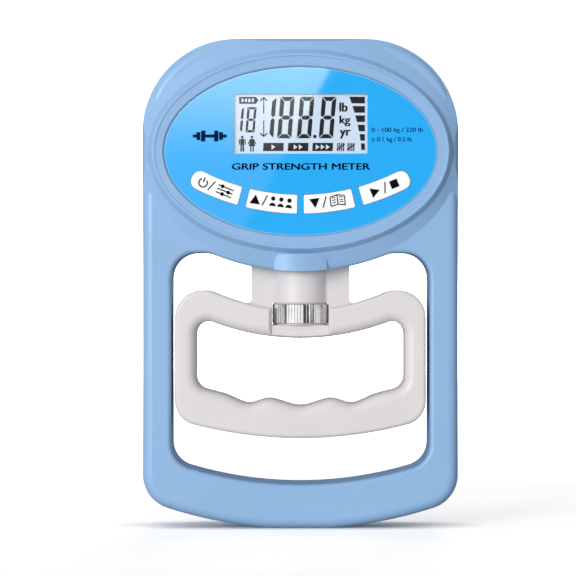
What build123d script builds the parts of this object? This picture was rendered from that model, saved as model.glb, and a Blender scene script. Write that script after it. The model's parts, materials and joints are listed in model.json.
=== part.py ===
from build123d import *
from math import cos, radians, sin
import os

# Electronic hand dynamometer (grip strength meter), in millimetres.
# Frame: +X to the right, +Y to the back, +Z up. The display faces -Y.
# Origin: the middle of the flat foot, half way through the depth.

# ---- Driving dimensions ----

# Frame outline, seen from the front
WIDTH = 124.0
HEIGHT = 192.3
DEPTH = 31.0
TOP_CORNER_R = 36.5
FOOT_ARC_R = 170.0
FOOT_LAND = 0.45          # how far the flat foot is cut into the bottom arc
FOOT_LAND_BLEND_R = 40.0
FOOT_CORNER_R = 13.9
OUTER_EDGE_R = 4.0

# The opening that the handle moves in
OPENING_HALF_W = 50.8
OPENING_TOP = 108.3
OPENING_BOTTOM = 17.2
OPENING_BOTTOM_R = 153.0
OPENING_CORNER_R = 10.0
OPENING_EDGE_R = 1.7
LIP_BOTTOM = 101.0
LIP_R = 93.0

# Half-round boss on the lip, over the top of the handle's column
BOSS_HALF_W = 10.4
BOSS_TOP = 107.7
BOSS_SIDE = 1.2            # how far its sides stand out from the arms' front
BOSS_CROWN = 3.5
BOSS_CORNER_R = 3.0
Y_BOSS_BACK = -9.0

# Depths of the frame
Y_CREST = -DEPTH / 2
Y_BACK = DEPTH / 2
Y_RING = -15.2            # flat of the ring round the display panel
Y_SKIRT = -13.0           # top of the sloping skirt below the ring
Y_FACE = -11.0            # front of the arms
Y_SPLIT = 2.0             # where the two casing shells meet
WALL = 2.2
PARTING_CHAMFER = 0.3

# Raised head: half axes (across, up) of its ellipses
HEAD_Z = 148.0
RIDGE = (58.2, 38.4)
RING_STEP = (59.8, 40.0)
SKIRT_RUN = (3.0, 6.3)    # how far the skirt spreads while it drops SKIRT_DROP
SKIRT_DROP = 2.0
BEAD_W = 1.3
BEAD_EDGE_R = 0.25
PANEL_Z = 147.8
PANEL = (53.5, 33.1)
PANEL_BEVEL = 0.6         # bevel on the ring's inner edge
HEAD_CAVITY = (57.0, 36.8)

# Display panel, liquid crystal display and keys
Y_PANEL = -14.6
Y_SEAT = -13.5
Y_SEAT_BACK = -11.8
PANEL_GAP = 0.2
LCD_Z = 158.6
LCD_VIEW = (52.3, 23.3)
LCD_GLASS = (57.0, 28.0)
LCD_SEAT_GAP = 0.2
Y_LCD_FRONT = -13.4
Y_LCD_BACK = -10.8
KEY_CENTRE_Z = 215.0
KEY_R_IN = 84.0
KEY_R_OUT = 91.7
INNER_KEY = (0.72, 13.7)  # start and end angle from straight down
OUTER_KEY = (15.5, 28.9)
KEY_END_R = 3.2
KEY_CORNER_R = 0.5
KEY_GAP = 0.15
Y_KEY_TOP = -14.75
Y_KEY_BACK = -13.9
KEY_POST_R = 1.5
KEY_POST_HOLE_R = 1.8

# Circuit board
Y_BOARD = -7.0
BOARD_T = 1.6
BOARD_HALF_W = 40.0
BOARD_Z = (124.5, 176.0)
BOARD_POSTS = [(-36.5, 149.0), (36.5, 149.0), (-36.5, 171.0), (36.5, 171.0)]
BOARD_POST_R = 2.5
BOARD_PILOT_R = 1.0

# Handle
HANDLE_HALF_W = 49.4
HANDLE_TOP = 93.6
HANDLE_DIP = 85.7
HANDLE_DIP_R = 84.0
HANDLE_SHOULDER_R = 11.0
HANDLE_BOTTOM = 35.3
HANDLE_BOTTOM_R = 167.0
HANDLE_CORNER_R = 9.8
GRIP_HALF_W = 41.1
GRIP_TOP = 81.2
GRIP_DIP = 74.6
GRIP_DIP_R = 98.0
GRIP_CORNER_R = 4.8
GRIP_BLEND_R = 2.0
# Corners of the finger bar's top line, from the middle to the side wall, each with its radius
FINGER_CORNERS = [(0.0, 47.4), (12.3, 51.2), (20.6, 48.4), (29.5, 52.4), (GRIP_HALF_W, 55.4)]
FINGER_RADII = [12.0, 9.0, 7.0, 15.0, 5.5]
FINGER_BENDS = [1, -1, 1, -1, 1]  # 1 where the opening bulges into the bar, -1 at a crest
Y_HANDLE = (-9.5, 12.5)
Y_HANDLE_SPLIT = 1.5
HANDLE_WALL = 2.4
HANDLE_EDGE_R = 1.5
GRIP_EDGE_R = 4.0
NECK_HALF_W = 19.4
NECK_TOP = 121.0
Y_NECK = (-2.5, 8.0)
COLUMN_R = 10.6
COLUMN_TOP = 112.0
Y_COLUMN = (1.2, 1.8)     # centres of its front and back half rounds
NECK_EDGE_R = 1.5
NECK_FOOT_R = 1.8
HANDLE_SCREWS = [(-30.0, 85.3), (30.0, 85.3), (-33.0, 45.9), (33.0, 45.9), (0.0, 41.6)]
HANDLE_SHANK_R = 1.2
HANDLE_WELL_R = 2.4
HANDLE_POST_R = (3.0, 4.3)  # in the front half and round the screw's well in the rear half
Y_HANDLE_HEAD = 6.5
HANDLE_RISE = 12.0        # how far the knob can wind the handle up
TUNNEL_GAP = 0.4

# Adjuster: knob, lead screw and pull tube share one vertical axis at x = 0
Y_AXIS = 1.5
KNOB_R = 11.05
KNOB_Z = (80.2, 88.2)
KNOB_RIBS = 48
KNOB_RIB_GROOVE_R = 0.42
KNOB_WINDOW_HALF_W = 11.15
KNOB_WINDOW_Z = (79.7, 88.7)
KNOB_WINDOW_BEVEL = (1.3, 1.9)    # across and deep, on its side edges
BELOW_KNOB_RECESS = 1.5
THRUST_WASHER_R = 11.0
THRUST_GAP = 0.05
SCREW_R = 4.0
SCREW_TOP = 119.5
SCREW_LEAD = 2.0
JOURNAL_R = 2.5
JOURNAL_BOTTOM = 76.2
TUBE_R = 6.25
TUBE_Z = (101.5, 134.0)
TUBE_BORE_TOP = 132.0
TUBE_CLEARANCE_R = 6.6
STUD_R = 3.0
STUD_TOP = 153.0

# Load cell and its bracket
BEAM_HALF_L = 40.0
BEAM_Z = (137.0, 147.0)
Y_BEAM = (-4.5, 7.5)
BEAM_BOLT_X = 34.0
BRACKET_HALF_W = 46.0
BRACKET_BASE_Z = (134.0, 136.0)
BRACKET_FLANGE_TOP = 150.0
Y_BRACKET_FLANGE = (10.0, 12.0)
BRACKET_SCREWS = [(-43.0, 142.0), (43.0, 142.0), (-14.0, 144.0), (14.0, 144.0)]

# Battery bay and door
BAY_HALF_W = 26.0
BAY_Z = (156.0, 179.0)
BAY_WALL = 2.6
Y_BAY_FLOOR = (0.7, 2.1)
CELL_R = 5.25
CELL_L = 44.5
CELL_ZS = (161.8, 173.2)
Y_CELL = 7.8
DOOR_HALF_W = 27.5
DOOR_Z = (154.6, 180.6)
DOOR_T = 2.0
DOOR_GAP = 0.3

# Casing screws, as (x, z)
CASE_SCREWS = [
    (-46.7, 177.0), (46.7, 177.0),
    (-53.0, 116.0), (53.0, 116.0),
    (-50.5, 19.0), (50.5, 19.0),
    (0.0, 8.6),
]
CASE_SCREW_L = 11.0
CASE_PILOT_R = 1.5
CASE_POST_R = 3.2
CASE_WELL_POST_R = 4.7
CASE_SHANK_R = 1.45
CASE_CLEAR_R = 1.6
CASE_WELL_R = 3.25
Y_CASE_HEAD = 6.0


# ---- Shared shapes ----

def at_y(y):
    """The plane at depth y that faces the front, with sketch x and y along X and Z."""
    return Plane.XZ.offset(-y)


def rounds(y_front, y_back, radius, points, mode=Mode.ADD):
    """Round posts or holes along Y through the given (x, z) points."""
    with BuildSketch(at_y(y_back)) as section:
        with Locations(*points):
            Circle(radius)
    extrude(section.sketch, amount=y_back - y_front, mode=mode)


def uprights(z_low, z_high, radius, points, mode=Mode.ADD):
    """Round posts or holes along Z through the given (x, y) points."""
    with BuildSketch(Plane.XY.offset(z_low)) as section:
        with Locations(*points):
            Circle(radius)
    extrude(section.sketch, amount=z_high - z_low, mode=mode)


def block(x_range, y_range, z_range, mode=Mode.ADD):
    """A box between two limits on each axis."""
    middle = [(low + high) / 2 for low, high in (x_range, y_range, z_range)]
    size = [high - low for low, high in (x_range, y_range, z_range)]
    with Locations(tuple(middle)):
        Box(*size, mode=mode)


def slab(profile, y_front, y_back, mode=Mode.ADD):
    """A flat outline from the X-Z drawing, extruded between two depths."""
    placed = at_y(y_back).from_local_coords(profile)
    extrude(placed, amount=y_back - y_front, mode=mode)


def cross_recess(points, y_range, half_length, half_width):
    """Cross slots in screw heads at the given (x, z) points."""
    for screw_x, screw_z in points:
        for across, up in ((half_length, half_width), (half_width, half_length)):
            slot_x = (screw_x - across, screw_x + across)
            slot_z = (screw_z - up, screw_z + up)
            block(slot_x, y_range, slot_z, Mode.SUBTRACT)


def ellipse_at(y, half_axes, z_middle=HEAD_Z):
    """A sketch of an ellipse that faces the front."""
    with BuildSketch(at_y(y)) as section:
        with Locations((0, z_middle)):
            Ellipse(*half_axes)
    return section.sketch


def save(part, name):
    """Label a finished piece and write it to its own file."""
    part.label = name
    export_step(part, f"parts/{name}.step")


os.makedirs("parts", exist_ok=True)

# ---- Flat outlines, drawn as X-Z ----

with BuildSketch() as outline:
    with Locations((0, HEIGHT / 2)):
        Rectangle(WIDTH, HEIGHT)
    with Locations((0, FOOT_ARC_R - FOOT_LAND)):
        Circle(FOOT_ARC_R, mode=Mode.INTERSECT)
    fillet(outline.vertices().group_by(Axis.Y)[-1], TOP_CORNER_R)
    fillet(outline.vertices().filter_by_position(Axis.Y, 5, 40), FOOT_CORNER_R)
    fillet(outline.vertices().group_by(Axis.Y)[0], FOOT_LAND_BLEND_R)

with BuildSketch() as opening:
    with Locations((0, OPENING_TOP / 2)):
        Rectangle(2 * OPENING_HALF_W, OPENING_TOP)
    with Locations((0, OPENING_BOTTOM + OPENING_BOTTOM_R)):
        Circle(OPENING_BOTTOM_R, mode=Mode.INTERSECT)
    with Locations((0, LIP_BOTTOM + LIP_R)):
        Circle(LIP_R, mode=Mode.SUBTRACT)
    fillet(opening.vertices(), OPENING_CORNER_R)

with BuildSketch() as cavity:
    offset(outline.sketch, amount=-WALL)
    offset(opening.sketch, amount=WALL, mode=Mode.SUBTRACT)

with BuildSketch() as lip_clear:
    offset(opening.sketch, amount=OPENING_EDGE_R)

with BuildSketch() as handle_outline:
    with Locations((0, HANDLE_TOP / 2)):
        Rectangle(2 * HANDLE_HALF_W, HANDLE_TOP)
    with Locations((0, HANDLE_BOTTOM + HANDLE_BOTTOM_R)):
        Circle(HANDLE_BOTTOM_R, mode=Mode.INTERSECT)
    with Locations((0, HANDLE_DIP + HANDLE_DIP_R)):
        Circle(HANDLE_DIP_R, mode=Mode.SUBTRACT)
    fillet(handle_outline.vertices().group_by(Axis.Y)[-1], HANDLE_SHOULDER_R)
    fillet(handle_outline.vertices().filter_by_position(Axis.Y, 38, 48), HANDLE_CORNER_R)


with BuildSketch() as neck_outline:
    add(handle_outline.sketch)
    with Locations((0, (GRIP_TOP + NECK_TOP) / 2)):
        Rectangle(2 * NECK_HALF_W, NECK_TOP - GRIP_TOP)
    fillet(neck_outline.vertices().group_by(Axis.Y)[-1], NECK_EDGE_R)
    feet = neck_outline.vertices().filter_by_position(Axis.Y, HANDLE_DIP, HANDLE_DIP + 4)
    fillet(feet.filter_by_position(Axis.X, -NECK_HALF_W - 0.1, NECK_HALF_W + 0.1), NECK_FOOT_R)
    with Locations((0, (GRIP_TOP + NECK_TOP) / 2)):
        Rectangle(2 * (NECK_HALF_W + NECK_FOOT_R + 1), NECK_TOP - GRIP_TOP, mode=Mode.INTERSECT)


def grip_shape(grow=0.0):
    """The finger opening's outline, or the same outline grown on every side."""
    half = GRIP_HALF_W + grow
    corners = [(x + grow * (x == GRIP_HALF_W), z - grow) for x, z in FINGER_CORNERS]
    radii = [radius + grow * sign for radius, sign in zip(FINGER_RADII, FINGER_BENDS)]
    mirrored = [(-x, z) for x, z in reversed(corners[1:])]
    left_top = (-half, GRIP_TOP + grow)
    right_top = (half, GRIP_TOP + grow)
    with BuildSketch() as shape:
        with BuildLine():
            FilletPolyline(left_top, *mirrored, *corners, right_top, radius=radii[:0:-1] + radii)
            Line(right_top, left_top)
        make_face()
        with Locations((0, GRIP_DIP + GRIP_DIP_R)):
            Circle(GRIP_DIP_R - grow, mode=Mode.SUBTRACT)
        top = shape.vertices().group_by(Axis.Y)[-1].sort_by(Axis.X)
        fillet(top[1:-1], GRIP_BLEND_R + grow)
        top = shape.vertices().group_by(Axis.Y)[-1].sort_by(Axis.X)
        fillet([top[0], top[-1]], GRIP_CORNER_R + grow)
    return shape.sketch


grip = grip_shape()

with BuildSketch() as handle_cavity:
    offset(handle_outline.sketch, amount=-HANDLE_WALL)
    add(grip_shape(HANDLE_WALL), mode=Mode.SUBTRACT)
    with Locations((0, GRIP_TOP)):
        Rectangle(2 * (KNOB_WINDOW_HALF_W + HANDLE_WALL), 30, mode=Mode.SUBTRACT)


def key_shape(start, end, side, shrink=0.0):
    """One key's outline. The end next to the panel's edge is round."""
    low = radians(start)
    high = radians(end)
    angle_gap = shrink / KEY_R_IN
    with BuildSketch() as shape:
        with BuildLine():
            inner = KEY_R_IN + shrink
            outer = KEY_R_OUT - shrink
            turns = (low + angle_gap, (low + high) / 2, high - angle_gap)
            near = [(side * inner * sin(a), KEY_CENTRE_Z - inner * cos(a)) for a in turns]
            far = [(side * outer * sin(a), KEY_CENTRE_Z - outer * cos(a)) for a in turns]
            ThreePointArc(*near)
            ThreePointArc(*far)
            Line(near[0], far[0])
            Line(near[2], far[2])
        make_face()
        ends = shape.vertices().sort_by(Axis.X)
        if side < 0:
            ends = ends.sort_by(Axis.X, reverse=True)
        fillet(ends[:2], KEY_CORNER_R)
        ends = shape.vertices().sort_by(Axis.X, reverse=side > 0)
        fillet(ends[:2], KEY_END_R if start == OUTER_KEY[0] else KEY_CORNER_R)
    return shape.sketch


# Each key's name, span and side, from left to right
KEYS = [
    ("key_power", OUTER_KEY, -1),
    ("key_up", INNER_KEY, -1),
    ("key_down", INNER_KEY, 1),
    ("key_start", OUTER_KEY, 1),
]


def key_middle(span, side):
    """The centre of a key, as (x, z)."""
    angle = radians(sum(span) / 2)
    radius = (KEY_R_IN + KEY_R_OUT) / 2
    return (side * radius * sin(angle), KEY_CENTRE_Z - radius * cos(angle))


KEY_POINTS = [key_middle(span, side) for name, span, side in KEYS]

# ---- Casing ----

# Sloping skirt and stepped ring that stand out round the display panel
with BuildPart() as skirt:
    spread = 3
    foot = (RING_STEP[0] + spread * SKIRT_RUN[0], RING_STEP[1] + spread * SKIRT_RUN[1])
    loft([ellipse_at(Y_SKIRT + spread * SKIRT_DROP, foot), ellipse_at(Y_SKIRT, RING_STEP)])

with BuildPart() as skirt_limit:
    slab(outline.sketch, Y_SKIRT, Y_SPLIT)
    front = skirt_limit.faces().sort_by(Axis.Y)[0]
    fillet(front.outer_wire().edges(), OUTER_EDGE_R)
    slab(lip_clear.sketch, Y_CREST, Y_SPLIT, Mode.SUBTRACT)

with BuildPart() as ring:
    deep = Y_FACE - Y_SKIRT
    slope = (RING_STEP[0] - RIDGE[0]) / (Y_SKIRT - Y_RING)
    base = (RING_STEP[0] + deep * slope, RING_STEP[1] + deep * slope)
    loft([ellipse_at(Y_FACE, base), ellipse_at(Y_RING, RIDGE)])
    bead_inner = (RIDGE[0] - BEAD_W, RIDGE[1] - BEAD_W)
    extrude(ellipse_at(Y_RING, (RIDGE[0] - 0.1, RIDGE[1] - 0.1)), amount=Y_RING - Y_CREST)
    extrude(ellipse_at(Y_RING, bead_inner), amount=Y_RING - Y_CREST, mode=Mode.SUBTRACT)
    bead_edges = ring.faces().sort_by(Axis.Y)[0].edges()
    fillet(bead_edges, BEAD_EDGE_R)

# Half-round boss on the lip that covers the top of the handle's column
with BuildPart() as lip_boss:
    with BuildSketch(Plane.XY.offset(LIP_BOTTOM - 1)) as crown:
        with BuildLine():
            left = (-BOSS_HALF_W, Y_FACE - BOSS_SIDE)
            right = (BOSS_HALF_W, Y_FACE - BOSS_SIDE)
            ThreePointArc(left, (0, Y_FACE - BOSS_CROWN), right)
            Polyline(right, (BOSS_HALF_W, Y_BOSS_BACK), (-BOSS_HALF_W, Y_BOSS_BACK), left)
        make_face()
    extrude(amount=BOSS_TOP + 1 - LIP_BOTTOM)
    with BuildSketch() as boss_front:
        with Locations((0, LIP_BOTTOM + LIP_R)):
            Circle(LIP_R)
        with Locations((0, BOSS_TOP - 10)):
            Rectangle(2 * BOSS_HALF_W, 20, mode=Mode.INTERSECT)
        fillet(boss_front.vertices().group_by(Axis.Y)[-1], BOSS_CORNER_R)
    slab(boss_front.sketch, Y_CREST, Y_SPLIT, Mode.INTERSECT)

# The way through the lip for the handle's neck and column
with BuildPart() as tunnel:
    block(
        (-NECK_HALF_W - TUNNEL_GAP, NECK_HALF_W + TUNNEL_GAP),
        (Y_NECK[0] - TUNNEL_GAP, Y_NECK[1] + TUNNEL_GAP),
        (LIP_BOTTOM - 1, OPENING_TOP + 2),
    )
    with BuildSketch(Plane.XY.offset(LIP_BOTTOM - 1)):
        with Locations((0, sum(Y_COLUMN) / 2)):
            SlotCenterToCenter(Y_COLUMN[1] - Y_COLUMN[0], 2 * (COLUMN_R + TUNNEL_GAP), rotation=90)
    extrude(amount=COLUMN_TOP + HANDLE_RISE + 0.5 - (LIP_BOTTOM - 1))

with BuildPart() as front_shell:
    slab(outline.sketch - opening.sketch, Y_FACE, Y_SPLIT)
    front = front_shell.faces().sort_by(Axis.Y)[0]
    fillet(front.outer_wire().edges(), OUTER_EDGE_R)
    front = front_shell.faces().sort_by(Axis.Y)[0]
    fillet(front.inner_wires()[0].edges(), OPENING_EDGE_R)
    back = front_shell.faces().sort_by(Axis.Y)[-1]
    chamfer(back.outer_wire().edges(), PARTING_CHAMFER)
    add(skirt.part & skirt_limit.part)
    add(ring.part)
    add(lip_boss.part)
    extrude(ellipse_at(Y_SEAT, PANEL, PANEL_Z), amount=DEPTH, mode=Mode.SUBTRACT)
    bevel_out = 1.5 * PANEL_BEVEL
    bevel_mouth = ellipse_at(Y_RING - bevel_out / 3, (PANEL[0] + bevel_out, PANEL[1] + bevel_out), PANEL_Z)
    bevel_foot = ellipse_at(Y_RING + PANEL_BEVEL, PANEL, PANEL_Z)
    loft([bevel_foot, bevel_mouth], mode=Mode.SUBTRACT)
    slab(cavity.sketch, Y_FACE + WALL, Y_SPLIT, Mode.SUBTRACT)
    extrude(ellipse_at(Y_SPLIT, HEAD_CAVITY, PANEL_Z), amount=Y_SPLIT - Y_SEAT_BACK, mode=Mode.SUBTRACT)
    rounds(Y_FACE + WALL - 0.5, Y_SPLIT, CASE_POST_R, CASE_SCREWS)
    rounds(Y_CASE_HEAD - CASE_SCREW_L - 1, Y_SPLIT, CASE_PILOT_R, CASE_SCREWS, Mode.SUBTRACT)
    rounds(Y_SEAT_BACK - 0.5, Y_BOARD, BOARD_POST_R, BOARD_POSTS)
    rounds(Y_BOARD - 4, Y_BOARD, BOARD_PILOT_R, BOARD_POSTS, Mode.SUBTRACT)
    seat_half = (LCD_GLASS[0] / 2 + LCD_SEAT_GAP, LCD_GLASS[1] / 2 + LCD_SEAT_GAP)
    lcd_seat_x = (-seat_half[0], seat_half[0])
    lcd_seat_z = (LCD_Z - seat_half[1], LCD_Z + seat_half[1])
    block(lcd_seat_x, (Y_SEAT - 1, Y_SEAT_BACK + 1), lcd_seat_z, Mode.SUBTRACT)
    rounds(Y_SEAT - 1, Y_SEAT_BACK + 1, KEY_POST_HOLE_R, KEY_POINTS, Mode.SUBTRACT)
    add(tunnel.part, mode=Mode.SUBTRACT)
save(front_shell.part, "front_shell")

# Battery bay, as limits along X and Z
BAY_X = (-BAY_HALF_W, BAY_HALF_W)
BAY_OUTER_X = (BAY_X[0] - BAY_WALL, BAY_X[1] + BAY_WALL)
BAY_OUTER_Z = (BAY_Z[0] - BAY_WALL, BAY_Z[1] + BAY_WALL)
DOOR_X = (-DOOR_HALF_W, DOOR_HALF_W)
DOOR_TABS_X = (-16.0, 16.0)
DOOR_TAB_HALF_W = 2.5
NOTCH_SIZE = (13.0, 5.0)
NOTCH_DEPTH = 1.2
LABEL_HALF = (22.0, 12.0)
LABEL_Z = 128.0
LABEL_DEPTH = 0.35
LABEL_GAP = 0.2
BRACKET_POST_R = 3.5

with BuildPart() as rear_shell:
    slab(outline.sketch - opening.sketch, Y_SPLIT, Y_BACK)
    back = rear_shell.faces().sort_by(Axis.Y)[-1]
    fillet(back.outer_wire().edges(), OUTER_EDGE_R)
    back = rear_shell.faces().sort_by(Axis.Y)[-1]
    fillet(back.inner_wires()[0].edges(), OPENING_EDGE_R)
    front = rear_shell.faces().sort_by(Axis.Y)[0]
    chamfer(front.outer_wire().edges(), PARTING_CHAMFER)
    slab(cavity.sketch, Y_SPLIT, Y_BACK - WALL, Mode.SUBTRACT)
    with BuildSketch(at_y(Y_BACK - 1)) as well_posts:
        with Locations(*CASE_SCREWS):
            Circle(CASE_WELL_POST_R)
        add(outline.sketch, mode=Mode.INTERSECT)
        add(lip_clear.sketch, mode=Mode.SUBTRACT)
    extrude(well_posts.sketch, amount=Y_BACK - 1 - Y_SPLIT)
    rounds(Y_SPLIT, Y_BACK, CASE_CLEAR_R, CASE_SCREWS, Mode.SUBTRACT)
    rounds(Y_CASE_HEAD, Y_BACK, CASE_WELL_R, CASE_SCREWS, Mode.SUBTRACT)
    rounds(Y_BRACKET_FLANGE[1], Y_BACK - 1, BRACKET_POST_R, BRACKET_SCREWS)
    rounds(Y_BRACKET_FLANGE[1], Y_BACK - 0.6, CASE_PILOT_R, BRACKET_SCREWS, Mode.SUBTRACT)
    block(BAY_OUTER_X, (Y_BAY_FLOOR[0], Y_BACK - 1), BAY_OUTER_Z)
    block(BAY_X, (Y_BAY_FLOOR[1], Y_BACK + 1), BAY_Z, Mode.SUBTRACT)
    door_seat_x = (DOOR_X[0] - DOOR_GAP, DOOR_X[1] + DOOR_GAP)
    door_seat_z = (DOOR_Z[0] - DOOR_GAP, DOOR_Z[1] + DOOR_GAP)
    block(door_seat_x, (Y_BACK - DOOR_T - 0.1, Y_BACK + 1), door_seat_z, Mode.SUBTRACT)
    for tab_x in DOOR_TABS_X:
        tab_slot_x = (tab_x - DOOR_TAB_HALF_W - 0.3, tab_x + DOOR_TAB_HALF_W + 0.3)
        block(tab_slot_x, (Y_BACK - 2.6, Y_BACK - 0.9), (DOOR_Z[0] - 2.4, DOOR_Z[0] + 1), Mode.SUBTRACT)
    # Finger notch above the battery door
    with BuildSketch(at_y(Y_BACK)) as notch:
        with Locations((0, door_seat_z[1])):
            SlotOverall(*NOTCH_SIZE)
    extrude(notch.sketch, amount=NOTCH_DEPTH, mode=Mode.SUBTRACT)
    label_x = (-LABEL_HALF[0] - LABEL_GAP, LABEL_HALF[0] + LABEL_GAP)
    label_z = (LABEL_Z - LABEL_HALF[1] - LABEL_GAP, LABEL_Z + LABEL_HALF[1] + LABEL_GAP)
    block(label_x, (Y_BACK - LABEL_DEPTH, Y_BACK + 1), label_z, Mode.SUBTRACT)
    add(tunnel.part, mode=Mode.SUBTRACT)
save(rear_shell.part, "rear_shell")

with BuildPart() as rear_label:
    with BuildSketch(at_y(Y_BACK - 0.05)):
        with Locations((0, LABEL_Z)):
            RectangleRounded(2 * LABEL_HALF[0], 2 * LABEL_HALF[1], 1.5)
    extrude(amount=LABEL_DEPTH - 0.05)
save(rear_label.part, "rear_label")

# Self-tapping screws: head at the back, point towards the front
with BuildPart() as case_screws:
    rounds(Y_CASE_HEAD, Y_CASE_HEAD + 2.2, 2.8, CASE_SCREWS)
    rounds(Y_CASE_HEAD - CASE_SCREW_L, Y_CASE_HEAD, CASE_SHANK_R, CASE_SCREWS)
    heads = case_screws.faces().group_by(Axis.Y)[-1]
    fillet(heads.edges(), 0.6)
    cross_recess(CASE_SCREWS, (Y_CASE_HEAD + 1.2, Y_CASE_HEAD + 3), 2.0, 0.4)
save(case_screws.part, "case_screws")

# ---- Display panel and keys ----

with BuildPart() as display_panel:
    panel_half = (PANEL[0] - PANEL_GAP, PANEL[1] - PANEL_GAP)
    extrude(ellipse_at(Y_SEAT, panel_half, PANEL_Z), amount=Y_SEAT - Y_PANEL)
    view_x = (-LCD_VIEW[0] / 2, LCD_VIEW[0] / 2)
    view_z = (LCD_Z - LCD_VIEW[1] / 2, LCD_Z + LCD_VIEW[1] / 2)
    block(view_x, (Y_PANEL - 1, Y_SEAT + 1), view_z, Mode.SUBTRACT)
    for key_name, span, side in KEYS:
        slab(key_shape(*span, side), Y_PANEL - 1, Y_SEAT + 1, Mode.SUBTRACT)
save(display_panel.part, "display_panel")

with BuildPart() as lcd_window:
    pane_x = (-LCD_VIEW[0] / 2 + 0.05, LCD_VIEW[0] / 2 - 0.05)
    pane_z = (LCD_Z - LCD_VIEW[1] / 2 + 0.05, LCD_Z + LCD_VIEW[1] / 2 - 0.05)
    block(pane_x, (Y_PANEL, Y_SEAT), pane_z)
save(lcd_window.part, "lcd_window")

with BuildPart() as lcd_glass:
    glass_x = (-LCD_GLASS[0] / 2, LCD_GLASS[0] / 2)
    glass_z = (LCD_Z - LCD_GLASS[1] / 2, LCD_Z + LCD_GLASS[1] / 2)
    block(glass_x, (Y_LCD_FRONT, Y_LCD_BACK), glass_z)
    chamfer(lcd_glass.edges().filter_by(Axis.Y), 0.4)
save(lcd_glass.part, "lcd_glass")

# Frame behind the display that holds the glass and its contact strips
HOLDER_HALF = (30.5, 16.0)
with BuildPart() as lcd_holder:
    holder_x = (-HOLDER_HALF[0], HOLDER_HALF[0])
    holder_z = (LCD_Z - HOLDER_HALF[1], LCD_Z + HOLDER_HALF[1])
    block(holder_x, (Y_SEAT_BACK, Y_BOARD), holder_z)
    chamfer(lcd_holder.edges().filter_by(Axis.Y), 1.0)
    block(lcd_seat_x, (Y_SEAT_BACK - 1, Y_LCD_BACK), lcd_seat_z, Mode.SUBTRACT)
    block((-27.0, 27.0), (Y_SEAT_BACK - 1, Y_BOARD + 1), (LCD_Z - 12.5, LCD_Z + 12.5), Mode.SUBTRACT)
save(lcd_holder.part, "lcd_holder")

ZEBRA_OFFSET = 11.4
with BuildPart() as zebra_strips:
    for strip_z in (LCD_Z - ZEBRA_OFFSET, LCD_Z + ZEBRA_OFFSET):
        block((-26.0, 26.0), (Y_LCD_BACK, Y_BOARD), (strip_z - 1, strip_z + 1))
save(zebra_strips.part, "zebra_strips")

Y_KEY_POST_END = -10.2
PLUNGER_R = 1.6
Y_PLUNGER_END = -8.9
SWITCH_HALF = 3.0
Y_SWITCH_FRONT = -9.5
SWITCH_HOLE_R = 1.7
Y_SWITCH_HOLE_END = -8.5
for (key_name, span, side), (key_x, key_z) in zip(KEYS, KEY_POINTS):
    with BuildPart() as key:
        slab(key_shape(*span, side, KEY_GAP), Y_KEY_TOP, Y_KEY_BACK)
        fillet(key.faces().sort_by(Axis.Y)[0].edges(), 0.2)
        rounds(Y_KEY_BACK, Y_KEY_POST_END, KEY_POST_R, [(key_x, key_z)])
    save(key.part, key_name)

    with BuildPart() as plunger:
        rounds(Y_KEY_POST_END, Y_PLUNGER_END, PLUNGER_R, [(key_x, key_z)])
    save(plunger.part, key_name.replace("key", "plunger"))

    with BuildPart() as switch:
        switch_x = (key_x - SWITCH_HALF, key_x + SWITCH_HALF)
        switch_z = (key_z - SWITCH_HALF, key_z + SWITCH_HALF)
        block(switch_x, (Y_SWITCH_FRONT, Y_BOARD), switch_z)
        chamfer(switch.edges().filter_by(Axis.Y), 0.5)
        rounds(Y_SWITCH_FRONT - 1, Y_SWITCH_HOLE_END, SWITCH_HOLE_R, [(key_x, key_z)], Mode.SUBTRACT)
    save(switch.part, key_name.replace("key", "switch"))

# ---- Circuit board ----

Y_BOARD_BACK = Y_BOARD + BOARD_T
with BuildPart() as main_board:
    block((-BOARD_HALF_W, BOARD_HALF_W), (Y_BOARD, Y_BOARD_BACK), BOARD_Z)
    chamfer(main_board.edges().filter_by(Axis.Y), 2.0)
    rounds(Y_BOARD - 1, Y_BOARD_BACK + 1, 1.1, BOARD_POSTS, Mode.SUBTRACT)
save(main_board.part, "main_board")

with BuildPart() as board_screws:
    rounds(Y_BOARD - 3, Y_BOARD_BACK, 0.95, BOARD_POSTS)
    rounds(Y_BOARD_BACK, Y_BOARD_BACK + 1.3, 1.9, BOARD_POSTS)
save(board_screws.part, "board_screws")

CHIP_HALF = 5.0
CHIP_CENTRE = (-12.0, 165.0)
with BuildPart() as main_chip:
    chip_x = (CHIP_CENTRE[0] - CHIP_HALF, CHIP_CENTRE[0] + CHIP_HALF)
    chip_z = (CHIP_CENTRE[1] - CHIP_HALF, CHIP_CENTRE[1] + CHIP_HALF)
    block(chip_x, (Y_BOARD_BACK + 0.2, Y_BOARD_BACK + 1.5), chip_z)
    chamfer(main_chip.faces().sort_by(Axis.Y)[-1].edges(), 0.2)
    # Rows of legs down both sides
    for leg in range(12):
        leg_z = CHIP_CENTRE[1] + (leg - 5.5) * 0.8
        for leg_side in (-1, 1):
            near = CHIP_CENTRE[0] + leg_side * CHIP_HALF
            leg_x = tuple(sorted((near, near + leg_side * 1.0)))
            block(leg_x, (Y_BOARD_BACK, Y_BOARD_BACK + 0.6), (leg_z - 0.2, leg_z + 0.2))
save(main_chip.part, "main_chip")

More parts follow.
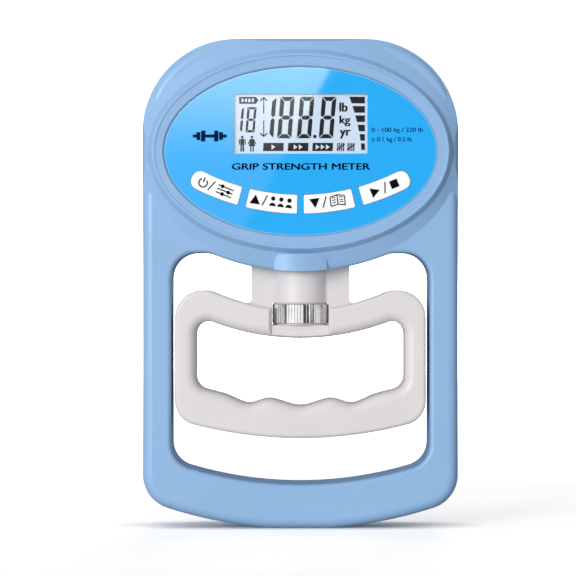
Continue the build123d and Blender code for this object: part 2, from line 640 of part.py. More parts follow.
# Each component's centre (x, z), size across, size up and thickness
COMPONENTS = [
    (6.0, 170.0, 10.0, 4.0, 3.2),
    (5.0, 162.0, 3.2, 1.6, 1.0),
    (11.0, 162.0, 3.2, 1.6, 1.0),
    (5.0, 157.0, 1.6, 3.2, 1.0),
    (-24.0, 166.0, 2.0, 5.0, 1.2),
    (-24.0, 158.0, 3.2, 1.6, 1.0),
    (34.0, 160.0, 9.0, 5.0, 4.0),
    (-33.5, 158.0, 7.0, 5.0, 3.0),
]
with BuildPart() as board_components:
    for mid_x, mid_z, across, up, thick in COMPONENTS:
        part_x = (mid_x - across / 2, mid_x + across / 2)
        part_z = (mid_z - up / 2, mid_z + up / 2)
        block(part_x, (Y_BOARD_BACK, Y_BOARD_BACK + thick), part_z)
save(board_components.part, "board_components")

# ---- Load cell, bracket and pull tube ----

BEAM_BOLTS = [(-BEAM_BOLT_X, Y_AXIS), (BEAM_BOLT_X, Y_AXIS)]
with BuildPart() as load_cell:
    block((-BEAM_HALF_L, BEAM_HALF_L), Y_BEAM, BEAM_Z)
    chamfer(load_cell.edges().filter_by(Axis.Y), 0.5)
    # Each arm is weakened by two holes joined by a slot, where it bends
    beam_middle = sum(BEAM_Z) / 2
    with BuildSketch(at_y(Y_BEAM[1] + 1)) as eyes:
        with Locations((-19.0, beam_middle), (19.0, beam_middle)):
            SlotCenterToCenter(9.0, 7.0)
    extrude(eyes.sketch, amount=Y_BEAM[1] - Y_BEAM[0] + 2, mode=Mode.SUBTRACT)
    uprights(BEAM_Z[0] - 1, BEAM_Z[1] + 1, 2.6, BEAM_BOLTS, Mode.SUBTRACT)
    uprights(BEAM_Z[0] - 1, BEAM_Z[1] + 1, 3.2, [(0, Y_AXIS)], Mode.SUBTRACT)
save(load_cell.part, "load_cell")

GAUGE_T = 0.2
with BuildPart() as strain_gauges:
    for gauge_x in (-19.0, 19.0):
        for gauge_z in (BEAM_Z[0] - GAUGE_T, BEAM_Z[1]):
            block((gauge_x - 4, gauge_x + 4), (-1.0, 4.0), (gauge_z, gauge_z + GAUGE_T))
save(strain_gauges.part, "strain_gauges")

with BuildPart() as beam_spacers:
    uprights(BRACKET_BASE_Z[1], BEAM_Z[0], 5.0, BEAM_BOLTS)
    uprights(BRACKET_BASE_Z[1] - 1, BEAM_Z[0] + 1, 2.6, BEAM_BOLTS, Mode.SUBTRACT)
save(beam_spacers.part, "beam_spacers")

BOLT_THREAD_R = 2.5
BOLT_BOTTOM = 131.5
with BuildPart() as load_bracket:
    block((-BRACKET_HALF_W, BRACKET_HALF_W), (Y_BEAM[0], Y_BRACKET_FLANGE[1]), BRACKET_BASE_Z)
    flange_z = (BRACKET_BASE_Z[0], BRACKET_FLANGE_TOP)
    block((-BRACKET_HALF_W, BRACKET_HALF_W), Y_BRACKET_FLANGE, flange_z)
    bend = load_bracket.edges().filter_by(Axis.X).sort_by(Axis.Z)
    fillet(bend.filter_by_position(Axis.Y, 11.9, 12.1).filter_by_position(Axis.Z, 133, 135), 2.5)
    uprights(BOLT_BOTTOM, BRACKET_BASE_Z[0], 4.0, BEAM_BOLTS)
    uprights(BOLT_BOTTOM - 1, BRACKET_BASE_Z[1] + 1, BOLT_THREAD_R, BEAM_BOLTS, Mode.SUBTRACT)
    uprights(BRACKET_BASE_Z[0] - 1, BRACKET_BASE_Z[1] + 1, 7.0, [(0, Y_AXIS)], Mode.SUBTRACT)
    rounds(Y_BRACKET_FLANGE[0] - 1, Y_BRACKET_FLANGE[1] + 1, 1.6, BRACKET_SCREWS, Mode.SUBTRACT)
save(load_bracket.part, "load_bracket")

with BuildPart() as beam_screws:
    uprights(BOLT_BOTTOM + 0.5, BEAM_Z[1], BOLT_THREAD_R - 0.05, BEAM_BOLTS)
    uprights(BEAM_Z[1], BEAM_Z[1] + 5, 4.25, BEAM_BOLTS)
    for bolt_x, bolt_y in BEAM_BOLTS:
        with BuildSketch(Plane.XY.offset(BEAM_Z[1] + 2.5)):
            with Locations((bolt_x, bolt_y)):
                RegularPolygon(2.3, 6)
        extrude(amount=4, mode=Mode.SUBTRACT)
save(beam_screws.part, "beam_screws")

with BuildPart() as bracket_screws:
    rounds(Y_BRACKET_FLANGE[0] - 1.8, Y_BRACKET_FLANGE[0], 2.7, BRACKET_SCREWS)
    rounds(Y_BRACKET_FLANGE[0], Y_BRACKET_FLANGE[1] + 2.6, CASE_SHANK_R, BRACKET_SCREWS)
save(bracket_screws.part, "bracket_screws")

AXIS_POINT = [(0, Y_AXIS)]
with BuildPart() as pull_tube:
    uprights(TUBE_Z[0], TUBE_Z[1], TUBE_R, AXIS_POINT)
    chamfer(pull_tube.edges().sort_by(Axis.Z)[0], 0.8)
    uprights(TUBE_Z[1], STUD_TOP, STUD_R, AXIS_POINT)
    uprights(TUBE_Z[0] - 1, TUBE_BORE_TOP, SCREW_R + 0.05, AXIS_POINT, Mode.SUBTRACT)
save(pull_tube.part, "pull_tube")

NUT_BOTTOM = BEAM_Z[1] + 1.1
NUT_TOP = NUT_BOTTOM + 4.3
with BuildPart() as tube_washer:
    uprights(BEAM_Z[1] + 0.1, NUT_BOTTOM, 6.0, AXIS_POINT)
    uprights(BEAM_Z[1], NUT_BOTTOM + 1, STUD_R + 0.2, AXIS_POINT, Mode.SUBTRACT)
save(tube_washer.part, "tube_washer")

with BuildPart() as tube_nut:
    with BuildSketch(Plane.XY.offset(NUT_BOTTOM)):
        with Locations((0, Y_AXIS)):
            RegularPolygon(5.0, 6, major_radius=False)
    extrude(amount=NUT_TOP - NUT_BOTTOM)
    uprights(NUT_BOTTOM - 1, NUT_TOP + 1, STUD_R + 0.02, AXIS_POINT, Mode.SUBTRACT)
save(tube_nut.part, "tube_nut")

# ---- Handle ----

with BuildPart() as handle_form:
    slab(handle_outline.sketch - grip, *Y_HANDLE)
    for end in (0, -1):
        face = handle_form.faces().sort_by(Axis.Y)[end]
        fillet(face.outer_wire().edges(), HANDLE_EDGE_R)
        face = handle_form.faces().sort_by(Axis.Y)[end]
        fillet(face.inner_wires()[0].edges(), GRIP_EDGE_R)
    slab(handle_cavity.sketch, Y_HANDLE[0] + HANDLE_WALL, Y_HANDLE[1] - HANDLE_WALL, Mode.SUBTRACT)

with BuildPart() as handle_whole:
    add(handle_form.part)
    slab(neck_outline.sketch, *Y_NECK)
    with BuildSketch(Plane.XY.offset(KNOB_WINDOW_Z[1])):
        with Locations((0, sum(Y_COLUMN) / 2)):
            SlotCenterToCenter(Y_COLUMN[1] - Y_COLUMN[0], 2 * COLUMN_R, rotation=90)
    extrude(amount=COLUMN_TOP - KNOB_WINDOW_Z[1])
    knob_window_x = (-KNOB_WINDOW_HALF_W, KNOB_WINDOW_HALF_W)
    block(knob_window_x, (Y_CREST, Y_BACK), KNOB_WINDOW_Z, Mode.SUBTRACT)
    with BuildSketch(Plane.XY.offset(GRIP_DIP - 2)):
        across, deep = KNOB_WINDOW_BEVEL
        for side in (-1, 1):
            for face_y, inward in ((Y_HANDLE[0], deep), (Y_HANDLE[1], -deep)):
                wall_x = side * KNOB_WINDOW_HALF_W
                with BuildLine():
                    Polyline(
                        (wall_x, face_y + inward),
                        (wall_x + side * 2 * across, face_y - inward),
                        (wall_x, face_y - inward),
                        close=True,
                    )
                make_face()
    extrude(amount=KNOB_WINDOW_Z[1] - (GRIP_DIP - 2), mode=Mode.SUBTRACT)
    below_knob_z = (GRIP_DIP - 2, KNOB_WINDOW_Z[0] + 1)
    block(knob_window_x, (Y_CREST, Y_HANDLE[0] + BELOW_KNOB_RECESS), below_knob_z, Mode.SUBTRACT)
    block(knob_window_x, (Y_HANDLE[1] - BELOW_KNOB_RECESS, Y_BACK), below_knob_z, Mode.SUBTRACT)
    uprights(KNOB_WINDOW_Z[1] - 1, NECK_TOP + 1, TUBE_CLEARANCE_R, AXIS_POINT, Mode.SUBTRACT)
    uprights(JOURNAL_BOTTOM - 0.2, KNOB_WINDOW_Z[0] + 1, JOURNAL_R + 0.06, AXIS_POINT, Mode.SUBTRACT)

HANDLE_X = (-HANDLE_HALF_W - 1, HANDLE_HALF_W + 1)
with BuildPart() as handle_front:
    add(handle_whole.part)
    block(HANDLE_X, (Y_CREST, Y_HANDLE_SPLIT), (0, HEIGHT), Mode.INTERSECT)
    rounds(Y_HANDLE[0] + 1.2, Y_HANDLE_SPLIT, HANDLE_POST_R[0], HANDLE_SCREWS)
    rounds(-6.5, Y_HANDLE_SPLIT + 1, HANDLE_SHANK_R + 0.03, HANDLE_SCREWS, Mode.SUBTRACT)
save(handle_front.part, "handle_front")

with BuildPart() as handle_rear:
    add(handle_whole.part)
    block(HANDLE_X, (Y_HANDLE_SPLIT, Y_BACK), (0, HEIGHT), Mode.INTERSECT)
    rounds(Y_HANDLE_SPLIT, Y_HANDLE[1] - 1.2, HANDLE_POST_R[1], HANDLE_SCREWS)
    rounds(Y_HANDLE_SPLIT - 1, Y_HANDLE[1] + 1, HANDLE_SHANK_R + 0.1, HANDLE_SCREWS, Mode.SUBTRACT)
    rounds(Y_HANDLE_HEAD, Y_HANDLE[1] + 1, HANDLE_WELL_R, HANDLE_SCREWS, Mode.SUBTRACT)
save(handle_rear.part, "handle_rear")

with BuildPart() as handle_screws:
    rounds(-5.5, Y_HANDLE_HEAD, HANDLE_SHANK_R, HANDLE_SCREWS)
    rounds(Y_HANDLE_HEAD, Y_HANDLE_HEAD + 1.7, 2.2, HANDLE_SCREWS)
    cross_recess(HANDLE_SCREWS, (Y_HANDLE_HEAD + 0.9, Y_HANDLE_HEAD + 3), 1.5, 0.3)
save(handle_screws.part, "handle_screws")

for washer_name, low, high, hole_r in (
    ("upper_thrust_washer", KNOB_Z[1], KNOB_WINDOW_Z[1], SCREW_R + 0.1),
    ("lower_thrust_washer", KNOB_WINDOW_Z[0], KNOB_Z[0], JOURNAL_R + 0.06),
):
    with BuildPart() as thrust_washer:
        uprights(low + THRUST_GAP, high - THRUST_GAP, THRUST_WASHER_R, AXIS_POINT)
        uprights(low - 1, high + 1, hole_r, AXIS_POINT, Mode.SUBTRACT)
    save(thrust_washer.part, washer_name)

# ---- Adjuster ----

PIN_Z = sum(KNOB_Z) / 2
PIN_R = 1.0
PIN_HALF_L = 9.5
with BuildPart() as adjuster_knob:
    with BuildSketch(Plane.XY.offset(KNOB_Z[0])):
        with Locations((0, Y_AXIS)):
            Circle(KNOB_R)
            with PolarLocations(KNOB_R + 0.12, KNOB_RIBS):
                Circle(KNOB_RIB_GROOVE_R, mode=Mode.SUBTRACT)
            Circle(SCREW_R, mode=Mode.SUBTRACT)
    extrude(amount=KNOB_Z[1] - KNOB_Z[0])
    with Locations(Location((0, Y_AXIS, PIN_Z), (0, 90, 0))):
        Cylinder(PIN_R, 2 * PIN_HALF_L, mode=Mode.SUBTRACT)
save(adjuster_knob.part, "adjuster_knob")

THREAD_DEPTH = 0.6
THREAD_HALF_W = 0.6
with BuildPart() as lead_screw:
    uprights(KNOB_Z[0], SCREW_TOP, SCREW_R, AXIS_POINT)
    chamfer(lead_screw.edges().sort_by(Axis.Z)[-1], 0.8)
    uprights(JOURNAL_BOTTOM, KNOB_Z[0], JOURNAL_R, AXIS_POINT)
    # Grooves that stand for the thread
    groove_count = int((SCREW_TOP - 2 - KNOB_WINDOW_Z[1]) / SCREW_LEAD)
    for turn in range(groove_count):
        groove_z = KNOB_WINDOW_Z[1] + 1 + turn * SCREW_LEAD
        with BuildSketch(Plane.XZ.offset(-Y_AXIS)) as groove:
            with BuildLine():
                low_lip = (SCREW_R + 0.2, groove_z - THREAD_HALF_W)
                high_lip = (SCREW_R + 0.2, groove_z + THREAD_HALF_W)
                Polyline(low_lip, (SCREW_R - THREAD_DEPTH, groove_z), high_lip, close=True)
            make_face()
        revolve(groove.sketch, Axis((0, Y_AXIS, 0), (0, 0, 1)), mode=Mode.SUBTRACT)
    with Locations(Location((0, Y_AXIS, PIN_Z), (0, 90, 0))):
        Cylinder(PIN_R, 2 * PIN_HALF_L, mode=Mode.SUBTRACT)
save(lead_screw.part, "lead_screw")

with BuildPart() as knob_pin:
    with Locations(Location((0, Y_AXIS, PIN_Z), (0, 90, 0))):
        Cylinder(PIN_R, 2 * PIN_HALF_L)
    chamfer(knob_pin.edges().filter_by(GeomType.CIRCLE), 0.2)
save(knob_pin.part, "knob_pin")

# ---- Batteries, contacts and door ----

# The cells lie along X, head to tail, each with its sprung contact at its flat end
CELL_BODY_L = CELL_L - 1.0
CELL_LEFT = -20.4
CONTACT_T = 0.4
for cell_name, cell_z, turn in (("battery_lower", CELL_ZS[0], 1), ("battery_upper", CELL_ZS[1], -1)):
    flat_end = turn * CELL_LEFT
    with BuildPart() as cell:
        with BuildSketch(Plane.YZ.offset(flat_end)):
            with Locations((Y_CELL, cell_z)):
                Circle(CELL_R)
        extrude(amount=turn * CELL_BODY_L)
        fillet(cell.edges(), 0.6)
        with BuildSketch(Plane.YZ.offset(flat_end + turn * CELL_BODY_L)):
            with Locations((Y_CELL, cell_z)):
                Circle(1.9)
        extrude(amount=turn * 1.0)
    save(cell.part, cell_name)

CONTACT_X = BAY_HALF_W - CONTACT_T
with BuildPart() as battery_contacts:
    contact_y = (Y_BAY_FLOOR[1] + 0.6, 12.8)
    for contact_z in CELL_ZS:
        tall = (contact_z - 4.5, contact_z + 4.5)
        block((-BAY_HALF_W, -CONTACT_X), contact_y, tall)
        block((CONTACT_X, BAY_HALF_W), contact_y, tall)
    # Raised stud that meets each cell's button end
    stud_reach = CELL_LEFT + CELL_L
    for contact_z, turn in ((CELL_ZS[0], 1), (CELL_ZS[1], -1)):
        stud_x = sorted((turn * stud_reach, turn * CONTACT_X))
        block(tuple(stud_x), (Y_CELL - 2.5, Y_CELL + 2.5), (contact_z - 2.5, contact_z + 2.5))
save(battery_contacts.part, "battery_contacts")

# Conical springs, drawn as rings of wire that touch one another
WIRE_R = 0.45
SPRING_TURNS = 6
with BuildPart() as battery_springs:
    for spring_z, turn in ((CELL_ZS[0], 1), (CELL_ZS[1], -1)):
        spring_start = -CONTACT_X + WIRE_R
        spring_end = CELL_LEFT - WIRE_R
        step = (spring_end - spring_start) / (SPRING_TURNS - 1)
        for ring_index in range(SPRING_TURNS):
            ring_x = turn * (spring_start + ring_index * step)
            ring_r = 3.8 - 0.25 * ring_index
            with Locations(Location((ring_x, Y_CELL, spring_z), (0, 90, 0))):
                Torus(ring_r, WIRE_R)
save(battery_springs.part, "battery_springs")

with BuildPart() as battery_door:
    block(DOOR_X, (Y_BACK - DOOR_T, Y_BACK), DOOR_Z)
    fillet(battery_door.edges().filter_by(Axis.Y), 1.0)
    for tab_x in DOOR_TABS_X:
        tab = (tab_x - DOOR_TAB_HALF_W, tab_x + DOOR_TAB_HALF_W)
        block(tab, (Y_BACK - DOOR_T, Y_BACK - 1.2), (DOOR_Z[0] - 1.2, DOOR_Z[0] + 1))
    # Shallow grooves that give a thumb something to push on
    for groove_index in range(5):
        groove_z = DOOR_Z[1] - 4 - groove_index * 1.6
        half = 9 - groove_index
        block((-half, half), (Y_BACK - 0.4, Y_BACK + 1), (groove_z - 0.4, groove_z + 0.4), Mode.SUBTRACT)
save(battery_door.part, "battery_door")

# ---- Wires ----

def wire(name, radius, points, bend):
    """A wire of straight runs and tangent arcs."""
    with BuildPart() as lead:
        with BuildLine() as route:
            FilletPolyline(*points, radius=bend)
        with BuildSketch(Plane(origin=route.line @ 0, z_dir=route.line % 0)):
            Circle(radius)
        sweep()
    save(lead.part, name)


# Leads run from the board's sockets to the bay's side walls and to the end of the beam
BAY_SIDE = BAY_HALF_W + BAY_WALL
Y_SOCKET_TOP = Y_BOARD_BACK + 4
LEAD_R = 0.6
CABLE_R = 0.9
Y_LEAD = 3.0
OVER_BAY_Z = 185.0
wire(
    "battery_lead_red",
    LEAD_R,
    [(32.5, Y_SOCKET_TOP, 160.0), (32.5, 6.0, 160.0), (BAY_SIDE, 6.0, 160.0)],
    1.8,
)
wire(
    "battery_lead_black",
    LEAD_R,
    [
        (35.5, Y_SOCKET_TOP, 160.0),
        (35.5, Y_LEAD, 160.0),
        (35.5, Y_LEAD, OVER_BAY_Z),
        (-33.0, Y_LEAD, OVER_BAY_Z),
        (-33.0, Y_LEAD, 173.0),
        (-BAY_SIDE, Y_LEAD, 173.0),
    ],
    2.2,
)
wire(
    "load_cell_cable",
    CABLE_R,
    [
        (-33.5, Y_BOARD_BACK + 3, 158.0),
        (-33.5, Y_LEAD, 158.0),
        (-44.0, Y_LEAD, 158.0),
        (-44.0, Y_LEAD, 142.0),
        (-BEAM_HALF_L, Y_LEAD, 142.0),
    ],
    2.0,
)
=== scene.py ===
import json
from math import cos, pi, radians, sin, sqrt

import bmesh
import bpy
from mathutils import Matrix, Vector


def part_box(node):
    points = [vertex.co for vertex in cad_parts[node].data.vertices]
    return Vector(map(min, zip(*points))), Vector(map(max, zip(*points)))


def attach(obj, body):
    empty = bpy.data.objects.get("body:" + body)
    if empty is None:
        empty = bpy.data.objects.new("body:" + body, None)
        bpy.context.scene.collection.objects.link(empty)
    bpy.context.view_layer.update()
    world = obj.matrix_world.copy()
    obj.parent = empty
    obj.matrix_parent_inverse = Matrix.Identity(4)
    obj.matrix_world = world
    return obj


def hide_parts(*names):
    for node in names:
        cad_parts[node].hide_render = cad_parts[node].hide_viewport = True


# Looks of the hand dynamometer. Lengths are in metres unless a name ends in _MM.

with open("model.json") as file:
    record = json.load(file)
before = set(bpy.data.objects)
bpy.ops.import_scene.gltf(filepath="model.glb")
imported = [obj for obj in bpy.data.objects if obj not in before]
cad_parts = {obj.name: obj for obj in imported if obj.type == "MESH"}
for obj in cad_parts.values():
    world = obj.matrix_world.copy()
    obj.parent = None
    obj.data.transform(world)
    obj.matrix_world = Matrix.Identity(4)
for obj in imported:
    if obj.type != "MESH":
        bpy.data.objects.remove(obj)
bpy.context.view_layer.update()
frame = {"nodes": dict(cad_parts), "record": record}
NODES = frame["nodes"]
MM = 0.001

# ---- Places that the frame gives ----

PANEL_LOW, PANEL_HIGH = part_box("display_panel")
VIEW_LOW, VIEW_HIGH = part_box("lcd_window")
GLASS_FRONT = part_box("lcd_glass")[0].y
KNOB_LOW, KNOB_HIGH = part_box("adjuster_knob")
LABEL_LOW, LABEL_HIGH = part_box("rear_label")
DOOR_LOW, DOOR_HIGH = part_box("battery_door")
KEY_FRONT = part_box("key_up")[0].y
# Thickness of every printed line
INK = 0.02 * MM


# ---- Materials ----

class Shader:
    """A material whose numbers go on the Principled shader and whose patterns are nodes."""

    def __init__(self, name, **settings):
        self.material = bpy.data.materials.new(name)
        self.material.use_nodes = True
        self.tree = self.material.node_tree
        self.shader = self.tree.nodes["Principled BSDF"]
        for key, value in settings.items():
            self.shader.inputs[key.replace("_", " ")].default_value = value
        self.coords = self.tree.nodes.new("ShaderNodeTexCoord").outputs["Object"]

    def stretched(self, scale):
        """Object coordinates stretched by a scale on each axis."""
        mapping = self.tree.nodes.new("ShaderNodeMapping")
        mapping.inputs["Scale"].default_value = scale
        self.tree.links.new(self.coords, mapping.inputs["Vector"])
        return mapping.outputs["Vector"]

    def noise(self, scale, detail=2.0, vector=None):
        """A noise pattern, scale in cycles for each metre."""
        node = self.tree.nodes.new("ShaderNodeTexNoise")
        node.inputs["Scale"].default_value = scale
        node.inputs["Detail"].default_value = detail
        self.tree.links.new(vector or self.coords, node.inputs["Vector"])
        return node.outputs["Fac"]

    def ramp(self, value, stops):
        """Colours along a value, as (position, colour) stops."""
        node = self.tree.nodes.new("ShaderNodeValToRGB")
        elements = node.color_ramp.elements
        while len(elements) < len(stops):
            elements.new(0.5)
        for element, (position, colour) in zip(elements, stops):
            element.position = position
            element.color = (*colour, 1.0)
        self.tree.links.new(value, node.inputs["Fac"])
        return node.outputs["Color"]

    def spread(self, value, low, high, start=0.3, end=0.7):
        """A value mapped to a range."""
        node = self.tree.nodes.new("ShaderNodeMapRange")
        node.inputs["From Min"].default_value = start
        node.inputs["From Max"].default_value = end
        node.inputs["To Min"].default_value = low
        node.inputs["To Max"].default_value = high
        self.tree.links.new(value, node.inputs["Value"])
        return node.outputs["Result"]

    def length(self, sizes, centre=(0.0, 0.0, 0.0)):
        """How far a point is from the centre, in these sizes along X, Y and Z."""
        place = self.coords
        for operation, amount in (("SUBTRACT", centre), ("DIVIDE", sizes)):
            step = self.tree.nodes.new("ShaderNodeVectorMath")
            step.operation = operation
            step.inputs[1].default_value = amount
            self.tree.links.new(place, step.inputs[0])
            place = step.outputs["Vector"]
        node = self.tree.nodes.new("ShaderNodeVectorMath")
        node.operation = "LENGTH"
        self.tree.links.new(place, node.inputs[0])
        return node.outputs["Value"]

    def total(self, first, second):
        node = self.tree.nodes.new("ShaderNodeMath")
        node.operation = "ADD"
        self.tree.links.new(first, node.inputs[0])
        self.tree.links.new(second, node.inputs[1])
        return node.outputs["Value"]

    def colour(self, output):
        """Let a pattern set the colour."""
        self.tree.links.new(output, self.shader.inputs["Base Color"])

    def roughness(self, output):
        """Let a pattern set the roughness."""
        self.tree.links.new(output, self.shader.inputs["Roughness"])

    def bump(self, output, height, strength=1.0):
        """Relief of a height in metres."""
        node = self.tree.nodes.new("ShaderNodeBump")
        node.inputs["Distance"].default_value = height
        node.inputs["Strength"].default_value = strength
        self.tree.links.new(output, node.inputs["Height"])
        self.tree.links.new(node.outputs["Normal"], self.shader.inputs["Normal"])


def scaled(colour, factor):
    """A lighter or darker colour."""
    return tuple(min(1.0, channel * factor) for channel in colour)


def moulded(name, colour, roughness=0.38, grain=1400, relief=0.006, tone=0.03, **settings):
    """Moulded plastic: fine spark-eroded grain, faint flow clouds and uneven gloss."""
    made = Shader(name, **settings)
    clouds = made.noise(38, 3)
    made.colour(made.ramp(clouds, [(0.35, scaled(colour, 1 - tone)), (0.65, scaled(colour, 1 + tone))]))
    made.roughness(made.spread(made.noise(160, 4), roughness - 0.05, roughness + 0.05))
    made.bump(made.noise(grain, 2), relief * MM, 0.5)
    return made.material


def metal(name, colour, roughness, stretch=(40, 40, 1500)):
    """Metal with fine lines of machining or drawing along one axis."""
    made = Shader(name, Metallic=1.0)
    lines = made.noise(1, 3, made.stretched(stretch))
    made.colour(made.ramp(lines, [(0.3, scaled(colour, 0.88)), (0.7, colour)]))
    made.roughness(made.spread(lines, roughness - 0.06, roughness + 0.08))
    made.bump(lines, 0.004 * MM, 0.6)
    return made.material


def ink(name, colour, coat=1.0):
    """Silk-screened ink under the clear front film."""
    made = Shader(name, Specular_IOR_Level=0.0, Coat_Weight=coat, Coat_Roughness=0.03, Roughness=0.6)
    specks = made.noise(900, 3)
    made.colour(made.ramp(specks, [(0.3, scaled(colour, 0.9)), (0.7, colour)]))
    return made.material


def panel_film():
    """Blue print on the back of a polished clear film."""
    made = Shader("panel_film", Specular_IOR_Level=0.0, Coat_Weight=1.0, Coat_Roughness=0.03, Roughness=0.5)
    clouds = made.noise(30, 2)
    made.colour(made.ramp(clouds, [(0.35, (0.003, 0.40, 0.93)), (0.65, (0.006, 0.415, 0.95))]))
    made.bump(made.noise(90, 2), 0.02 * MM, 0.15)
    return made.material


def lcd_cell():
    """Liquid crystal cell: fine sparkle of the reflector behind the glass."""
    made = Shader("lcd_cell", Specular_IOR_Level=0.0, Coat_Weight=0.85, Coat_Roughness=0.03, Roughness=0.7)
    grain = made.noise(2600, 2)
    made.colour(made.ramp(grain, [(0.3, (0.64, 0.765, 0.92)), (0.7, (0.68, 0.81, 0.96))]))
    return made.material


def clear_pane():
    """Clear acrylic, so thin in colour that only its edges and gloss show."""
    made = Shader("clear_pane", Alpha=0.02, Specular_IOR_Level=0.5)
    made.colour(made.ramp(made.noise(50), [(0.4, (0.26, 0.28, 0.30)), (0.6, (0.30, 0.32, 0.34))]))
    made.roughness(made.spread(made.noise(400, 3), 0.02, 0.06))
    return made.material


def chrome():
    """Polished plating with slightly clouded gloss."""
    made = Shader("polished_chrome", Metallic=1.0)
    haze = made.noise(260, 3)
    made.colour(made.ramp(haze, [(0.3, (0.86, 0.86, 0.87)), (0.7, (0.93, 0.93, 0.93))]))
    made.roughness(made.spread(haze, 0.05, 0.12))
    made.bump(made.noise(700, 2), 0.002 * MM, 0.3)
    return made.material


def circuit_board():
    """Green solder mask over copper traces."""
    made = Shader("solder_mask", Coat_Weight=0.4, Coat_Roughness=0.2)
    wave = made.tree.nodes.new("ShaderNodeTexWave")
    wave.bands_direction = "X"
    wave.inputs["Scale"].default_value = 160
    wave.inputs["Distortion"].default_value = 6
    made.tree.links.new(made.coords, wave.inputs["Vector"])
    traces = wave.outputs["Fac"]
    made.colour(made.ramp(traces, [(0.45, (0.008, 0.085, 0.03)), (0.55, (0.02, 0.16, 0.06))]))
    made.roughness(made.spread(made.noise(300), 0.3, 0.45))
    made.bump(traces, 0.03 * MM, 0.6)
    return made.material


def battery_sleeve():
    """Printed sleeve: two bands round the cell, by distance along it."""
    made = Shader("battery_sleeve", Metallic=0.6)
    axis = made.tree.nodes.new("ShaderNodeSeparateXYZ")
    made.tree.links.new(made.coords, axis.inputs["Vector"])
    along = made.spread(axis.outputs["X"], 0.0, 1.0, -0.025, 0.025)
    bands = [(0.0, (0.55, 0.56, 0.58)), (0.25, (0.06, 0.07, 0.09)), (0.8, (0.75, 0.5, 0.12))]
    made.colour(made.ramp(along, bands))
    made.roughness(made.spread(made.noise(400, 3), 0.22, 0.36))
    return made.material


def rubbery(name, colour):
    """Soft insulation or rubber with a fine rough skin."""
    made = Shader(name)
    made.colour(made.ramp(made.noise(300, 3), [(0.3, scaled(colour, 0.85)), (0.7, colour)]))
    made.roughness(made.spread(made.noise(700, 3), 0.5, 0.65))
    made.bump(made.noise(1800, 2), 0.01 * MM, 0.4)
    return made.material


CASE_BLUE = (0.272, 0.470, 0.750)
HANDLE_WHITE = (0.735, 0.70, 0.70)

# Finish of every material slot
# (name, colour, roughness, grain in cycles for each metre, relief in mm, change of tone)
FINISHES = {
    "case_blue": moulded("abs_case_blue", CASE_BLUE, 0.36, tone=0.02, Coat_Weight=0.12, Coat_Roughness=0.25),
    "handle_white": moulded("abs_handle_white", HANDLE_WHITE, 0.4, tone=0.015),
    "key_white": moulded("key_white", (0.93, 0.94, 0.95), 0.35, 2200, 0.003, 0.01, Specular_IOR_Level=0.3),
    "panel_blue": panel_film(),
    "lcd": lcd_cell(),
    "window": clear_pane(),
    "knob_chrome": chrome(),
    "label": moulded("label_film", (0.72, 0.75, 0.78), 0.45, 500, 0.01, 0.02),
    "inner_plastic": moulded("inner_black", (0.025, 0.025, 0.027), 0.5, 900, 0.01, 0.1),
    "acetal": moulded("acetal_natural", (0.62, 0.60, 0.60), 0.42, 600, 0.005, 0.02),
    "chip": moulded("epoxy_black", (0.018, 0.018, 0.02), 0.55, 1500, 0.01, 0.15),
    "gauge": moulded("gauge_film", (0.55, 0.36, 0.08), 0.35, 2000, 0.004, 0.15),
    "board": circuit_board(),
    "battery": battery_sleeve(),
    "plated_steel": metal("zinc_plate", (0.66, 0.67, 0.66), 0.32),
    "screw_steel": metal("screw_steel", (0.58, 0.58, 0.59), 0.28, (900, 900, 60)),
    "cell_aluminium": metal("milled_aluminium", (0.80, 0.80, 0.81), 0.34, (30, 900, 900)),
    "contact": metal("nickel_strip", (0.74, 0.71, 0.64), 0.25, (600, 60, 600)),
    "zebra": rubbery("zebra_strip", (0.45, 0.2, 0.25)),
    "lead_red": rubbery("lead_red", (0.45, 0.02, 0.015)),
    "lead_black": rubbery("lead_black", (0.02, 0.02, 0.02)),
    "cable_grey": rubbery("cable_grey", (0.18, 0.18, 0.19)),
}
INK_NAVY = ink("ink_navy", (0.002, 0.018, 0.07), 0.0)
INK_BLACK = ink("ink_black", (0.006, 0.006, 0.008), 0.0)
INK_SEGMENT = ink("ink_segment", (0.001, 0.002, 0.005), 0.55)
INK_LIGHT = ink("ink_light", (0.80, 0.88, 0.97))
INK_GREY = ink("ink_grey", (0.12, 0.13, 0.15), 0.0)

for part in frame["record"]["subparts"]:
    node = NODES[part["node"]]
    node.data.materials.clear()
    node.data.materials.append(FINISHES[part["material_slot"]])


# ---- Flat shapes ----

def circle(centre, radius, count=24):
    """The outline of a disc."""
    turns = [2 * pi * step / count for step in range(count)]
    return [(centre[0] + radius * cos(turn), centre[1] + radius * sin(turn)) for turn in turns]


def bar(start, end, width):
    """The outline of a straight stroke."""
    along = (end[0] - start[0], end[1] - start[1])
    length = sqrt(along[0] ** 2 + along[1] ** 2)
    side = (-along[1] / length * width / 2, along[0] / length * width / 2)
    corners = ((start, 1), (end, 1), (end, -1), (start, -1))
    return [(point[0] + side[0] * sign, point[1] + side[1] * sign) for point, sign in corners]


def arc_band(centre, radius, width, start, end, count=20):
    """The outline of a curved stroke between two angles in degrees."""
    turns = [radians(start + (end - start) * step / count) for step in range(count + 1)]
    outline = []
    for rim, order in ((radius + width / 2, turns), (radius - width / 2, reversed(turns))):
        outline += [(centre[0] + rim * cos(turn), centre[1] + rim * sin(turn)) for turn in order]
    return outline


def box_outline(left, right, low, high):
    """The outline of an upright rectangle."""
    return [(left, low), (right, low), (right, high), (left, high)]


